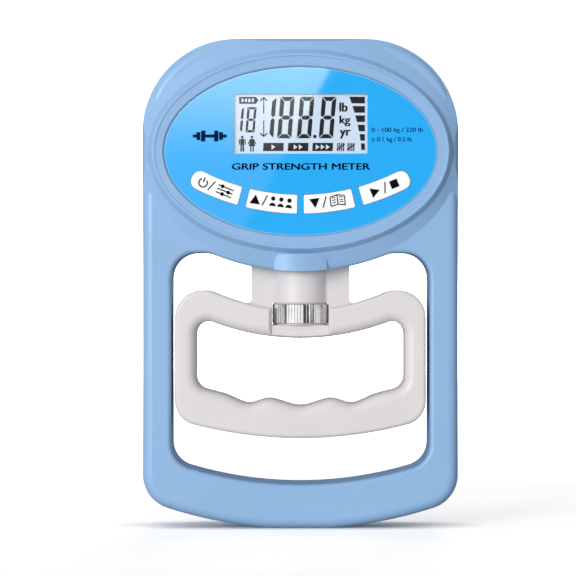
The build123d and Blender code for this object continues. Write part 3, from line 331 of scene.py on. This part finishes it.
class Sheet:
    """Closed flat shapes gathered into one piece. Shapes are drawn in millimetres on a turned frame."""

    def __init__(self, origin, turn=0.0, back=False):
        self.mesh = bmesh.new()
        self.origin = origin
        self.turn = radians(turn)
        self.back = back
        self.out = 1 if back else -1

    def place(self, point):
        """The X-Z place of a drawn point."""
        u = -point[0] if self.back else point[0]
        x = u * cos(self.turn) - point[1] * sin(self.turn)
        z = u * sin(self.turn) + point[1] * cos(self.turn)
        return (self.origin[0] + x * MM, self.origin[2] + z * MM)

    def add(self, *outlines, lift=0.0):
        """Outlines as thin solids that stand on the surface, lift millimetres off it."""
        low = self.origin[1] + self.out * lift * MM
        high = low + self.out * INK
        for outline in outlines:
            points = [self.place(point) for point in outline]
            near = [self.mesh.verts.new((x, high, z)) for x, z in points]
            far = [self.mesh.verts.new((x, low, z)) for x, z in points]
            self.mesh.faces.new(near)
            self.mesh.faces.new(far[::-1])
            for step in range(len(points)):
                after = (step + 1) % len(points)
                self.mesh.faces.new((near[after], near[step], far[step], far[after]))

    def words(self, text, centre, size):
        """Letters scaled to a width and a height, in millimetres."""
        curve = bpy.data.curves.new("letters", "FONT")
        curve.body = text
        curve.extrude = 0.5
        letters = bpy.data.objects.new("letters", curve)
        bpy.context.scene.collection.objects.link(letters)
        solid = letters.evaluated_get(bpy.context.evaluated_depsgraph_get())
        drawn = bpy.data.meshes.new_from_object(solid)
        xs = [vertex.co.x for vertex in drawn.vertices]
        ys = [vertex.co.y for vertex in drawn.vertices]
        scale = (size[0] / (max(xs) - min(xs)), size[1] / (max(ys) - min(ys)))
        for vertex in drawn.vertices:
            u = (vertex.co.x - (max(xs) + min(xs)) / 2) * scale[0] + centre[0]
            v = (vertex.co.y - (max(ys) + min(ys)) / 2) * scale[1] + centre[1]
            x, z = self.place((u, v))
            deep = self.origin[1] + self.out * INK * (vertex.co.z + curve.extrude)
            vertex.co = (x, deep, z)
        self.mesh.from_mesh(drawn)
        bpy.data.objects.remove(letters)
        bpy.data.meshes.remove(drawn)
        bpy.data.curves.remove(curve)

    def finish(self, name, material, body):
        """Turn the shapes into a piece that rides on a body."""
        bmesh.ops.recalc_face_normals(self.mesh, faces=self.mesh.faces)
        return piece_from(self.mesh, name, material, body)


def piece_from(mesh, name, material, body, smooth=False):
    """A mesh as a visible piece that rides on a body."""
    data = bpy.data.meshes.new(name)
    mesh.to_mesh(data)
    mesh.free()
    data.materials.append(material)
    for face in data.polygons:
        face.use_smooth = smooth
    piece = bpy.data.objects.new(name, data)
    bpy.context.scene.collection.objects.link(piece)
    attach(piece, body)
    return piece


# ---- Liquid crystal display ----

# Sizes in mm, measured from the upper left corner of the display's view
LCD_SLANT = 0.085
DIGIT_TOP, DIGIT_W, DIGIT_H, DIGIT_STROKE = -1.0, 5.6, 16.2, 1.62
MEMORY_TOP, MEMORY_H, MEMORY_STROKE = -5.0, 9.9, 0.92
TAG_LOW, TAG_HIGH = -22.2, -19.0
TAG_STARTS = (11.4, 21.1, 30.7)
LEVEL_ROWS = 6
LEVEL_PITCH = 3.65
LEVEL_HEIGHT = 2.6
LEVEL_TOP = 0.95
LEVEL_RIGHT = 51.3
MARK_LIFT = 0.03


def leaning(outline, foot):
    """The outline leaned to the right above the height of its foot."""
    return [(x + (z - foot) * LCD_SLANT, z) for x, z in outline]


def seven_segments(left, top, width, height, stroke, segments="abcdefg"):
    """The lit segments of one digit, each a pointed bar with a fine gap to the next."""
    right, low, middle = left + width, top - height, top - height / 2
    gap = stroke * 0.12
    half = stroke / 2
    flat = {
        "a": [(left + gap, top), (right - gap, top), (right - stroke - gap, top - stroke),
              (left + stroke + gap, top - stroke)],
        "d": [(left + gap, low), (left + stroke + gap, low + stroke), (right - stroke - gap, low + stroke),
              (right - gap, low)],
        "g": [(left + half + gap, middle), (left + stroke + gap, middle + half),
              (right - stroke - gap, middle + half), (right - half - gap, middle),
              (right - stroke - gap, middle - half), (left + stroke + gap, middle - half)],
        "f": [(left, top - gap), (left + stroke, top - stroke - gap), (left + stroke, middle + half + gap),
              (left + half, middle + gap), (left, middle + half)],
        "e": [(left, low + gap), (left, middle - half), (left + half, middle - gap),
              (left + stroke, middle - half - gap), (left + stroke, low + stroke + gap)],
    }
    centre = left + right
    flat["b"] = [(centre - x, z) for x, z in reversed(flat["f"])]
    flat["c"] = [(centre - x, z) for x, z in reversed(flat["e"])]
    return [leaning(flat[name], low) for name in segments]


def arrow(x, tail, tip):
    """A thin arrow up or down."""
    way = 1 if tip > tail else -1
    head = [bar((x + side * 1.45, tip - way * 1.5), (x, tip - way * 0.2), 0.5) for side in (-1, 1)]
    return [bar((x, tail), (x, tip - way * 0.5), 0.42), *head]


def person(x, top, skirt):
    """A small standing figure: head, trunk or dress, two legs and two arms."""
    head = circle((x, top - 0.5), 0.5)
    neck = top - 1.2
    if skirt:
        hem = top - 4.1
        trunk = [(x - 0.55, neck), (x + 0.55, neck), (x + 1.25, hem), (x - 1.25, hem)]
        leg = (0.45, top - 4.0, 0.45, top - 6.2, 0.5)
        arm = (0.65, top - 1.4, 1.5, top - 3.3, 0.4)
    else:
        trunk = box_outline(x - 0.75, x + 0.75, top - 3.6, neck)
        leg = (0.42, top - 3.5, 0.42, top - 6.2, 0.62)
        arm = (1.1, top - 1.3, 1.15, top - 3.5, 0.42)
    limbs = []
    for start, high, end, low, width in (leg, arm):
        limbs += [bar((x + side * start, high), (x + side * end, low), width) for side in (-1, 1)]
    return [head, trunk, *limbs]


def tally(left, low, height):
    """Four strokes crossed by a fifth."""
    places = [left + 0.75 * step for step in range(4)]
    strokes = [bar((x, low), (x, low + height), 0.46) for x in places]
    return [*strokes, bar((left - 0.45, low + 0.5), (left + 2.7, low + height - 0.5), 0.44)]


def level_left(depth):
    """Left end of the level scale at a depth under the display's top."""
    return 49.9 - 4.7 * max(0.0, 1 - (depth - LEVEL_TOP) / 21) ** 1.6


def lcd_print():
    """Lit segments on the glass: number, memory number, arrows, people, units, tags and level scale."""
    corner = (VIEW_LOW.x, GLASS_FRONT, VIEW_HIGH.z)
    dark = Sheet(corner)
    dark.add(*seven_segments(11.3, DIGIT_TOP, 4.1, DIGIT_H, DIGIT_STROKE, "bc"))
    for left in (16.9, 24.6, 33.2):
        dark.add(*seven_segments(left, DIGIT_TOP, DIGIT_W, DIGIT_H, DIGIT_STROKE))
    dark.add(circle((31.7, -16.5), 0.72))
    dark.add(*seven_segments(0.7, MEMORY_TOP, 2.5, MEMORY_H, MEMORY_STROKE, "bc"))
    dark.add(*seven_segments(4.5, MEMORY_TOP, 3.6, MEMORY_H, MEMORY_STROKE))
    dark.add([(2.1, -1.0), (8.6, -1.0), (9.7, -2.35), (8.6, -3.7), (2.1, -3.7)])
    dark.add(*arrow(11.7, -7.6, -1.1), *arrow(11.7, -10.2, -16.7))
    dark.add(*person(3.3, -16.2, False), *person(7.1, -16.2, True))
    for shift in (-0.2, 0.0, 0.2):
        dark.words("lb", (42.9 + shift, -5.0), (2.9, 3.6))
        dark.words("kg", (43.5 + shift, -10.4), (4.0, 4.2))
        dark.words("yr", (43.6 + shift, -15.6), (4.0, 3.4))
    dark.add(*tally(40.7, TAG_LOW, 3.2), *tally(44.7, TAG_LOW, 3.2))
    for left in TAG_STARTS:
        dark.add([(left, TAG_LOW), (left + 8.0, TAG_LOW), (left + 8.15, TAG_HIGH), (left + 0.2, TAG_HIGH)])
    for row in range(LEVEL_ROWS):
        top = LEVEL_TOP + row * LEVEL_PITCH
        low = top + LEVEL_HEIGHT
        foot = [(level_left(low), -low), (LEVEL_RIGHT, -low)]
        dark.add([*foot, (LEVEL_RIGHT, -top), (level_left(top), -top)])
    dark.finish("lcd_segments", INK_SEGMENT, "housing")

    # Marks left clear in the dark shapes: four bars of charge, and one to three arrow heads
    light = Sheet(corner)
    for step in range(4):
        left = 3.0 + 1.35 * step
        light.add(box_outline(left, left + 0.8, -3.0, -1.7), lift=MARK_LIFT)
    for count, left in enumerate(TAG_STARTS, 1):
        for step in range(count):
            middle = left + 4.1 + (step - (count - 1) / 2) * 2.0
            back = middle - 0.75
            light.add([(back, -21.6), (middle + 0.75, -20.6), (back, -19.6)], lift=MARK_LIFT)
    light.finish("lcd_marks", INK_LIGHT, "housing")


# ---- Panel print ----

BARBELL_AT = (-35.5, 153.8)


def barbell():
    """A generic sign for strength: a bar with plates of two sizes."""
    shapes = [box_outline(-1.7, 1.7, -0.62, 0.62)]
    for side in (-1, 1):
        for near, far, half in ((1.7, 3.4, 2.15), (3.65, 5.2, 1.55), (5.2, 6.6, 0.62)):
            shapes.append(box_outline(*sorted((side * near, side * far)), -half, half))
    return shapes


def panel_print():
    """The title, the barbell and the range. Words drawn again a little to the side have bolder lines."""
    middle = (0.0, PANEL_LOW.y, 0.0)
    navy = Sheet(middle)
    for shift in (-0.14, 0.0, 0.14):
        navy.words("GRIP STRENGTH METER", (0.2 + shift, 141.9 + shift / 2), (53.9, 2.5))
    for shape in barbell():
        navy.add([(x + BARBELL_AT[0], z + BARBELL_AT[1]) for x, z in shape])
    navy.finish("panel_lettering", INK_NAVY, "housing")
    small = Sheet(middle)
    for shift in (-0.04, 0.04):
        small.words("0 - 100 kg / 220 lb", (37.8 + shift, 156.0), (20.0, 2.2))
        small.words("± 0.1 kg / 0.2 lb", (35.6 + shift, 152.3), (15.6, 2.2))
    small.finish("panel_range", INK_NAVY, "housing")


def ellipse_ring(middle, half_axes, width, y_near, y_far, count=160):
    """A closed flat ring that follows an ellipse."""
    mesh = bmesh.new()
    rings = []
    for inset, y in ((0, y_near), (width, y_near), (width, y_far), (0, y_far)):
        ring = []
        for step in range(count):
            turn = 2 * pi * step / count
            x = middle[0] + (half_axes[0] - inset) * cos(turn)
            z = middle[1] + (half_axes[1] - inset) * sin(turn)
            ring.append(mesh.verts.new((x, y, z)))
        rings.append(ring)
    for near, far in zip(rings, rings[1:] + rings[:1]):
        for step in range(count):
            after = (step + 1) % count
            mesh.faces.new((near[step], near[after], far[after], far[step]))
    bmesh.ops.recalc_face_normals(mesh, faces=mesh.faces)
    return mesh


def panel_edge():
    """A fine pale line round the panel, a painted highlight on its edge."""
    middle = ((PANEL_LOW.x + PANEL_HIGH.x) / 2, (PANEL_LOW.z + PANEL_HIGH.z) / 2)
    half_axes = ((PANEL_HIGH.x - PANEL_LOW.x) / 2, (PANEL_HIGH.z - PANEL_LOW.z) / 2)
    width = 0.3 * MM
    mesh = ellipse_ring(middle, half_axes, width, PANEL_LOW.y - INK, PANEL_LOW.y)
    # The lighter blue ring is a painted highlight of the panel's lit edge
    material = ink("film_edge_painted_highlight", (0.25, 0.62, 0.95))
    piece_from(mesh, "panel_edge_painted_highlight", material, "housing")


def display_border():
    """Pale printed border inside the display's window."""
    border = Sheet((VIEW_LOW.x, GLASS_FRONT, VIEW_HIGH.z))
    wide = (VIEW_HIGH.x - VIEW_LOW.x) / MM
    tall = (VIEW_HIGH.z - VIEW_LOW.z) / MM
    rim = 0.38
    border.add(box_outline(0, wide, -rim, 0), box_outline(0, wide, -tall, rim - tall))
    border.add(box_outline(0, rim, rim - tall, -rim), box_outline(wide - rim, wide, rim - tall, -rim))
    border.finish("lcd_border", INK_LIGHT, "housing")


# ---- Key symbols ----

def slash(x):
    """The stroke between a key's two signs."""
    return bar((x - 0.8, -2.1), (x + 0.8, 2.1), 0.5)


def power_symbols():
    """A ring with a stroke, and three sliders."""
    ring_x, line = -5.6, 0.55
    ring = arc_band((ring_x, -0.15), 1.65, line, -235, 55)
    shapes = [ring, bar((ring_x, 0.2), (ring_x, 2.1), line), slash(-2.1)]
    for row, knob in ((1.45, 2.0), (0.0, 4.9), (-1.45, 2.9)):
        shapes += [bar((0.3, row), (6.7, row), 0.48), circle((knob, row), 0.75)]
    return shapes


def up_symbols():
    """A triangle and three users."""
    shapes = [[(-8.5, -1.8), (-4.4, -1.8), (-6.45, 1.9)], slash(-2.7)]
    for x in (0.5, 3.7, 6.9):
        shapes += [circle((x, 1.15), 0.85), arc_band((x, -1.8), 0.65, 1.3, 0, 180)]
    return shapes


def down_symbols():
    """A triangle and an open book."""
    shapes = [[(-7.8, 1.8), (-5.75, -1.9), (-3.7, 1.8)], slash(-1.9)]
    spine = 3.2
    for side in (-1, 1):
        page = [(spine, -1.5), (spine + side * 2.8, -2.1), (spine + side * 2.8, 1.6), (spine, 2.2)]
        shapes += [bar(page[step], page[(step + 1) % 4], 0.45) for step in range(4)]
        for row in (-0.75, 0.2, 1.15):
            shapes.append(bar((spine + side * 0.7, row + 0.15), (spine + side * 2.15, row - 0.1), 0.38))
    return shapes


def start_symbols():
    """A triangle on its side, and a square."""
    return [[(-5.6, -2.0), (-2.0, 0.0), (-5.6, 2.0)], slash(0.2), box_outline(2.5, 5.7, -1.6, 1.6)]


def key_print():
    """Symbols on the keys, each turned with its key and riding on it."""
    marks = {
        "power": (-22.2, power_symbols), "up": (-7.2, up_symbols),
        "down": (7.2, down_symbols), "start": (22.2, start_symbols),
    }
    for name, (turn, symbols) in marks.items():
        low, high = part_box("key_" + name)
        sheet = Sheet(((low.x + high.x) / 2, KEY_FRONT, (low.z + high.z) / 2), turn)
        sheet.add(*symbols())
        sheet.finish("symbol_" + name, INK_BLACK, "key_" + name)


# ---- Knurled knob ----

KNOB_GROOVES = 60
GROOVE_STEPS = 8


def knurled_knob():
    """A polished wheel with fine straight grooves and turned edges."""
    axis = ((KNOB_LOW.x + KNOB_HIGH.x) / 2, (KNOB_LOW.y + KNOB_HIGH.y) / 2)
    outer = (KNOB_HIGH.x - KNOB_LOW.x) / 2
    bore = 4.02 * MM
    rim = 0.35 * MM
    groove = 0.12 * MM
    count = KNOB_GROOVES * GROOVE_STEPS
    # Height, radius and share of the groove's depth, from the lower bore round to the upper
    levels = [
        (KNOB_LOW.z, bore, 0.0), (KNOB_LOW.z, outer - rim, 0.0), (KNOB_LOW.z + rim, outer, 1.0),
        (KNOB_HIGH.z - rim, outer, 1.0), (KNOB_HIGH.z, outer - rim, 0.0), (KNOB_HIGH.z, bore, 0.0),
    ]
    mesh = bmesh.new()
    rings = []
    for z, radius, depth in levels:
        ring = []
        for step in range(count):
            turn = 2 * pi * step / count
            reach = radius - (groove * depth if step % GROOVE_STEPS == 0 else 0.0)
            ring.append(mesh.verts.new((axis[0] + reach * sin(turn), axis[1] - reach * cos(turn), z)))
        rings.append(ring)
    for near, far in zip(rings, rings[1:] + rings[:1]):
        for step in range(count):
            after = (step + 1) % count
            mesh.faces.new((near[step], near[after], far[after], far[step]))
    bmesh.ops.recalc_face_normals(mesh, faces=mesh.faces)
    knob = piece_from(mesh, "knurled_knob", FINISHES["knob_chrome"], "knob", smooth=True)
    edges = knob.modifiers.new("edges", "EDGE_SPLIT")
    edges.split_angle = radians(10)
    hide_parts("adjuster_knob")


# ---- Rear details ----

def rear_label_print():
    """Rating label: two cells with their poles, and a plain frame."""
    middle = ((LABEL_LOW.x + LABEL_HIGH.x) / 2, LABEL_HIGH.y, (LABEL_LOW.z + LABEL_HIGH.z) / 2)
    sheet = Sheet(middle, back=True)
    half_wide, half_high, line = 20.8, 10.9, 0.3
    inside = half_wide - line
    for low in (-half_high, half_high - line):
        sheet.add(box_outline(-inside, inside, low, low + line))
    for left in (-half_wide, inside):
        sheet.add(box_outline(left, left + line, -half_high, half_high))
    cell_left, cell_right, cell_half = -14.0, 2.0, 2.2
    sign, arm, thin = 1.0, 5.5, 0.35
    for row, way in ((4.4, 1), (-2.2, -1)):
        for wall in (-cell_half, cell_half):
            sheet.add(bar((cell_left, row + wall), (cell_right, row + wall), line))
        for end in (cell_left, cell_right):
            reach = cell_half + line / 2
            sheet.add(bar((end, row - reach), (end, row + reach), line))
        pole = cell_right if way > 0 else cell_left
        sides = sorted((pole + way * line / 2, pole + way * 1.0))
        sheet.add(box_outline(*sides, row - 0.8, row + 0.8))
        cell_middle = (cell_left + cell_right) / 2
        plus, minus = cell_middle + way * arm, cell_middle - way * arm
        for place in (plus, minus):
            sheet.add(bar((place - sign, row), (place + sign, row), thin))
        for low, high in ((thin / 2, sign), (-sign, -thin / 2)):
            sheet.add(box_outline(plus - thin / 2, plus + thin / 2, row + low, row + high))
    sheet.words("2 x 1.5 V", (11.5, 1.2), (12.0, 2.2))
    sheet.words("0 - 100 kg", (0.0, -8.0), (15.0, 1.9))
    sheet.finish("rear_label_print", INK_GREY, "housing")


def door_arrow():
    """A raised arrow that shows which way the battery door opens."""
    mesh = bmesh.new()
    tip = DOOR_LOW.z + 11 * MM
    tail = tip - 5 * MM
    half = 4.2 * MM
    height = 0.25 * MM
    draft = 0.9
    outline = [(-half, tail), (half, tail), (0.0, tip)]
    near = [mesh.verts.new((x * draft, DOOR_HIGH.y + height, z + height)) for x, z in outline]
    far = [mesh.verts.new((x, DOOR_HIGH.y, z)) for x, z in outline]
    mesh.faces.new(near)
    mesh.faces.new(far[::-1])
    for step in range(3):
        after = (step + 1) % 3
        mesh.faces.new((near[after], near[step], far[step], far[after]))
    bmesh.ops.recalc_face_normals(mesh, faces=mesh.faces)
    piece_from(mesh, "door_arrow", FINISHES["case_blue"], "battery_door")


# ---- Studio ----

def emitter(name, strength=1.0, stops=None, span=(0.0, 1.0)):
    """A light card's material, plain, or graded from one strength to another over a span of height."""
    material = bpy.data.materials.new(name)
    material.use_nodes = True
    tree = material.node_tree
    tree.nodes.clear()
    glow = tree.nodes.new("ShaderNodeEmission")
    glow.inputs["Strength"].default_value = strength
    output = tree.nodes.new("ShaderNodeOutputMaterial")
    tree.links.new(glow.outputs["Emission"], output.inputs["Surface"])
    if stops:
        coords = tree.nodes.new("ShaderNodeTexCoord")
        parts = tree.nodes.new("ShaderNodeSeparateXYZ")
        grade = tree.nodes.new("ShaderNodeMapRange")
        grade.interpolation_type = "SMOOTHSTEP"
        for socket, value in zip(("From Min", "From Max", "To Min", "To Max"), (*span, *stops)):
            grade.inputs[socket].default_value = value
        tree.links.new(coords.outputs["Object"], parts.inputs["Vector"])
        tree.links.new(parts.outputs["Z"], grade.inputs["Value"])
        tree.links.new(grade.outputs["Result"], glow.inputs["Strength"])
    return material


def stage_mesh(name, vertices, faces, material):
    """A piece of the studio, which is no part of the object."""
    data = bpy.data.meshes.new(name)
    data.from_pydata(vertices, [], faces)
    data.materials.append(material)
    staged = bpy.data.objects.new(name, data)
    bpy.context.scene.collection.objects.link(staged)
    return staged


def only_in_reflections(card):
    """A card that shines only in glossy surfaces."""
    card.visible_camera = False
    card.visible_diffuse = False
    card.visible_shadow = False
    card.visible_transmission = False
    card.visible_volume_scatter = False


ROOM_R = 3.0
ROOM_TOP = 3.0
COVE_R = 1.0
COVE_STEPS = 12
ROOM_STEPS = 96
# The paper's own glow: none under the object, which paints a contact shadow there, then a step up round its
# foot, and more with distance
PAINTED_SHADOW_SIZES = (0.062, 0.019, 1.0)
PAINTED_SHADOW_CENTRE = (-0.003, 0.004, 0.0)
NEAR_GLOW = 0.4
FAR_GLOW = 0.5


def white_paper():
    """Pale matt paper that glows a little, so that it stays white round the object; the glow left out under
    its foot paints a contact shadow.
    """
    paper = Shader("pale_paper", Specular_IOR_Level=0.0, Emission_Color=(1.0, 1.0, 1.0, 1.0))
    paper.colour(paper.ramp(paper.noise(3, 3), [(0.3, (0.93, 0.93, 0.93)), (0.7, (0.95, 0.95, 0.95))]))
    paper.roughness(paper.spread(paper.noise(20, 3), 0.85, 0.95))
    # Painted contact shadow: no glow in this patch under the foot, rising to NEAR_GLOW round it
    near = paper.spread(paper.length(PAINTED_SHADOW_SIZES, PAINTED_SHADOW_CENTRE), 0.0, NEAR_GLOW, 0.75, 1.25)
    far = paper.spread(paper.length((1.0, 1.0, 1.0)), 0.0, FAR_GLOW, 0.25, 0.75)
    paper.tree.links.new(paper.total(near, far), paper.shader.inputs["Emission Strength"])
    return paper.material


def floor_and_walls():
    """A pale round floor that curves up into the wall, and lights nothing itself."""
    flat = ROOM_R - COVE_R
    profile = [(0.0, 0.0), (flat, 0.0)]
    for step in range(1, COVE_STEPS + 1):
        turn = radians(90 * step / COVE_STEPS)
        profile.append((flat + COVE_R * sin(turn), COVE_R - COVE_R * cos(turn)))
    profile.append((ROOM_R, ROOM_TOP))
    mesh = bmesh.new()
    row = [mesh.verts.new((reach, 0.0, z)) for reach, z in profile]
    line = [mesh.edges.new(ends) for ends in zip(row, row[1:])]
    axis = {"axis": (0, 0, 1), "cent": (0, 0, 0), "angle": 2 * pi, "steps": ROOM_STEPS}
    bmesh.ops.spin(mesh, geom=row + line, **axis)
    bmesh.ops.remove_doubles(mesh, verts=mesh.verts, dist=0.0001)
    bmesh.ops.recalc_face_normals(mesh, faces=mesh.faces)
    bmesh.ops.reverse_faces(mesh, faces=mesh.faces)
    data = bpy.data.meshes.new("room")
    mesh.to_mesh(data)
    mesh.free()
    for face in data.polygons:
        face.use_smooth = True
    data.materials.append(white_paper())
    room = bpy.data.objects.new("room", data)
    bpy.context.scene.collection.objects.link(room)
    room.visible_diffuse = False
    room.visible_glossy = False
    room.visible_transmission = False
    room.visible_shadow = False


# What the glare card shows in: the film of the head, and all that lies under it or on it
FILM_PIECES = [
    "display_panel", "lcd_window", "lcd_glass", "lcd_segments", "lcd_marks", "lcd_border", "panel_lettering",
    "panel_range", "panel_edge_painted_highlight", "key_power", "key_up", "key_down", "key_start", "symbol_power",
    "symbol_up", "symbol_down", "symbol_start",
]


def glare_card():
    """A soft box beside the camera, whose slanted edge shows across the glossy panel."""
    far = -1.2
    left = -0.5
    low, high = 0.100, 0.52
    foot = -0.0668
    slope = 0.54
    head = foot + slope * (high - low)
    corners = [(left, far, low), (foot, far, low), (head, far, high), (left, far, high)]
    material = emitter("glare_light", stops=(1.5, 8.0), span=(0.19, 0.30))
    card = stage_mesh("glare_card", corners, [(0, 1, 2, 3)], material)
    only_in_reflections(card)
    film = bpy.data.collections.new("film_pieces")
    for name in FILM_PIECES:
        film.objects.link(bpy.data.objects[name])
    card.light_linking.receiver_collection = film


# Cards round the knob, by direction from the front towards +X: start, end and brightness
KNOB_CARDS = [
    (-180, -142, 0.08), (-142, -122, 1.0), (-122, -90, 0.05), (-90, -58, 0.13), (-58, 10, 0.95),
    (10, 36, 0.05), (36, 41, 0.9), (41, 57, 0.04), (57, 81, 0.62), (81, 91, 0.06), (91, 100, 0.6),
    (100, 126, 0.05), (126, 158, 1.0), (158, 180, 0.08),
]


def knob_cards():
    """Bright and dark cards that the chrome knob mirrors."""
    radius = 0.9
    low, high = -0.02, 0.11
    facet = 6
    for index, (start, end, brightness) in enumerate(KNOB_CARDS):
        count = max(1, round((end - start) / facet))
        turns = [radians(start + (end - start) * step / count) for step in range(count + 1)]
        vertices = [(radius * sin(turn), -radius * cos(turn), z) for turn in turns for z in (low, high)]
        faces = [(2 * step, 2 * step + 1, 2 * step + 3, 2 * step + 2) for step in range(count)]
        card = stage_mesh(f"knob_card_{index}", vertices, faces, emitter(f"card_{index}", brightness))
        only_in_reflections(card)


# Name, place, what it points at, side in metres and power in watts
AREA_LIGHTS = [
    ("key_light", (-1.2, -1.9, 0.6), (0, 0, 0.1), 1.0, 28),
    ("fill_light", (1.5, -1.6, 0.5), (0, 0, 0.1), 1.0, 7),
    ("top_light", (-0.3, 0.1, 2.2), (0, 0, 0), 1.2, 4),
    ("back_light", (0.3, 2.3, 0.8), (0, 0, 0.1), 1.0, 34),
]


def area_lights():
    """Soft boxes. The one behind the object doesn't show in its gloss."""
    for name, place, target, side, power in AREA_LIGHTS:
        data = bpy.data.lights.new(name, "AREA")
        data.shape = "RECTANGLE"
        data.size = side
        data.size_y = side
        data.energy = power
        light = bpy.data.objects.new(name, data)
        light.location = place
        way = Vector(target) - Vector(place)
        light.rotation_euler = way.to_track_quat("-Z", "Y").to_euler()
        light.visible_glossy = name != "back_light"
        bpy.context.scene.collection.objects.link(light)


def world_light():
    """Soft white room, brightest at the front left and dim behind."""
    world = bpy.data.worlds.new("studio")
    bpy.context.scene.world = world
    world.use_nodes = True
    tree = world.node_tree
    coords = tree.nodes.new("ShaderNodeTexCoord")
    toward = tree.nodes.new("ShaderNodeVectorMath")
    toward.operation = "DOT_PRODUCT"
    toward.inputs[1].default_value = (-0.62, -0.78, 0.05)
    grade = tree.nodes.new("ShaderNodeMapRange")
    grade.interpolation_type = "SMOOTHSTEP"
    for socket, value in (("From Min", -0.4), ("From Max", 0.9), ("To Min", 0.05), ("To Max", 0.66)):
        grade.inputs[socket].default_value = value
    tree.links.new(coords.outputs["Generated"], toward.inputs[0])
    tree.links.new(toward.outputs["Value"], grade.inputs["Value"])
    tree.links.new(grade.outputs["Result"], tree.nodes["Background"].inputs["Strength"])
    tree.nodes["Background"].inputs["Color"].default_value = (1.0, 1.0, 1.0, 1.0)


CAMERA_DISTANCE = 1.0
CAMERA_LENS_MM = 159.3
CAMERA_X = -4.9 * MM
CAMERA_Z = 94.4 * MM
HEAD_STEP = 4.5 * MM


def camera():
    """A long lens straight in front, a metre from the front of the frame's arms."""
    data = bpy.data.cameras.new("camera")
    data.lens = CAMERA_LENS_MM
    data.sensor_width = 36.0
    eye = bpy.data.objects.new("camera", data)
    arms_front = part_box("front_shell")[0].y + HEAD_STEP
    eye.location = (CAMERA_X, arms_front - CAMERA_DISTANCE, CAMERA_Z)
    eye.rotation_euler = (radians(90), 0, 0)
    bpy.context.scene.collection.objects.link(eye)
    bpy.context.scene.camera = eye


# ---- The object's own details ----

lcd_print()
display_border()
panel_print()
panel_edge()
key_print()
knurled_knob()
rear_label_print()
door_arrow()

# ---- The studio around it ----

floor_and_walls()
glare_card()
knob_cards()
area_lights()
world_light()
camera()
bpy.context.scene.view_settings.view_transform = "Standard"
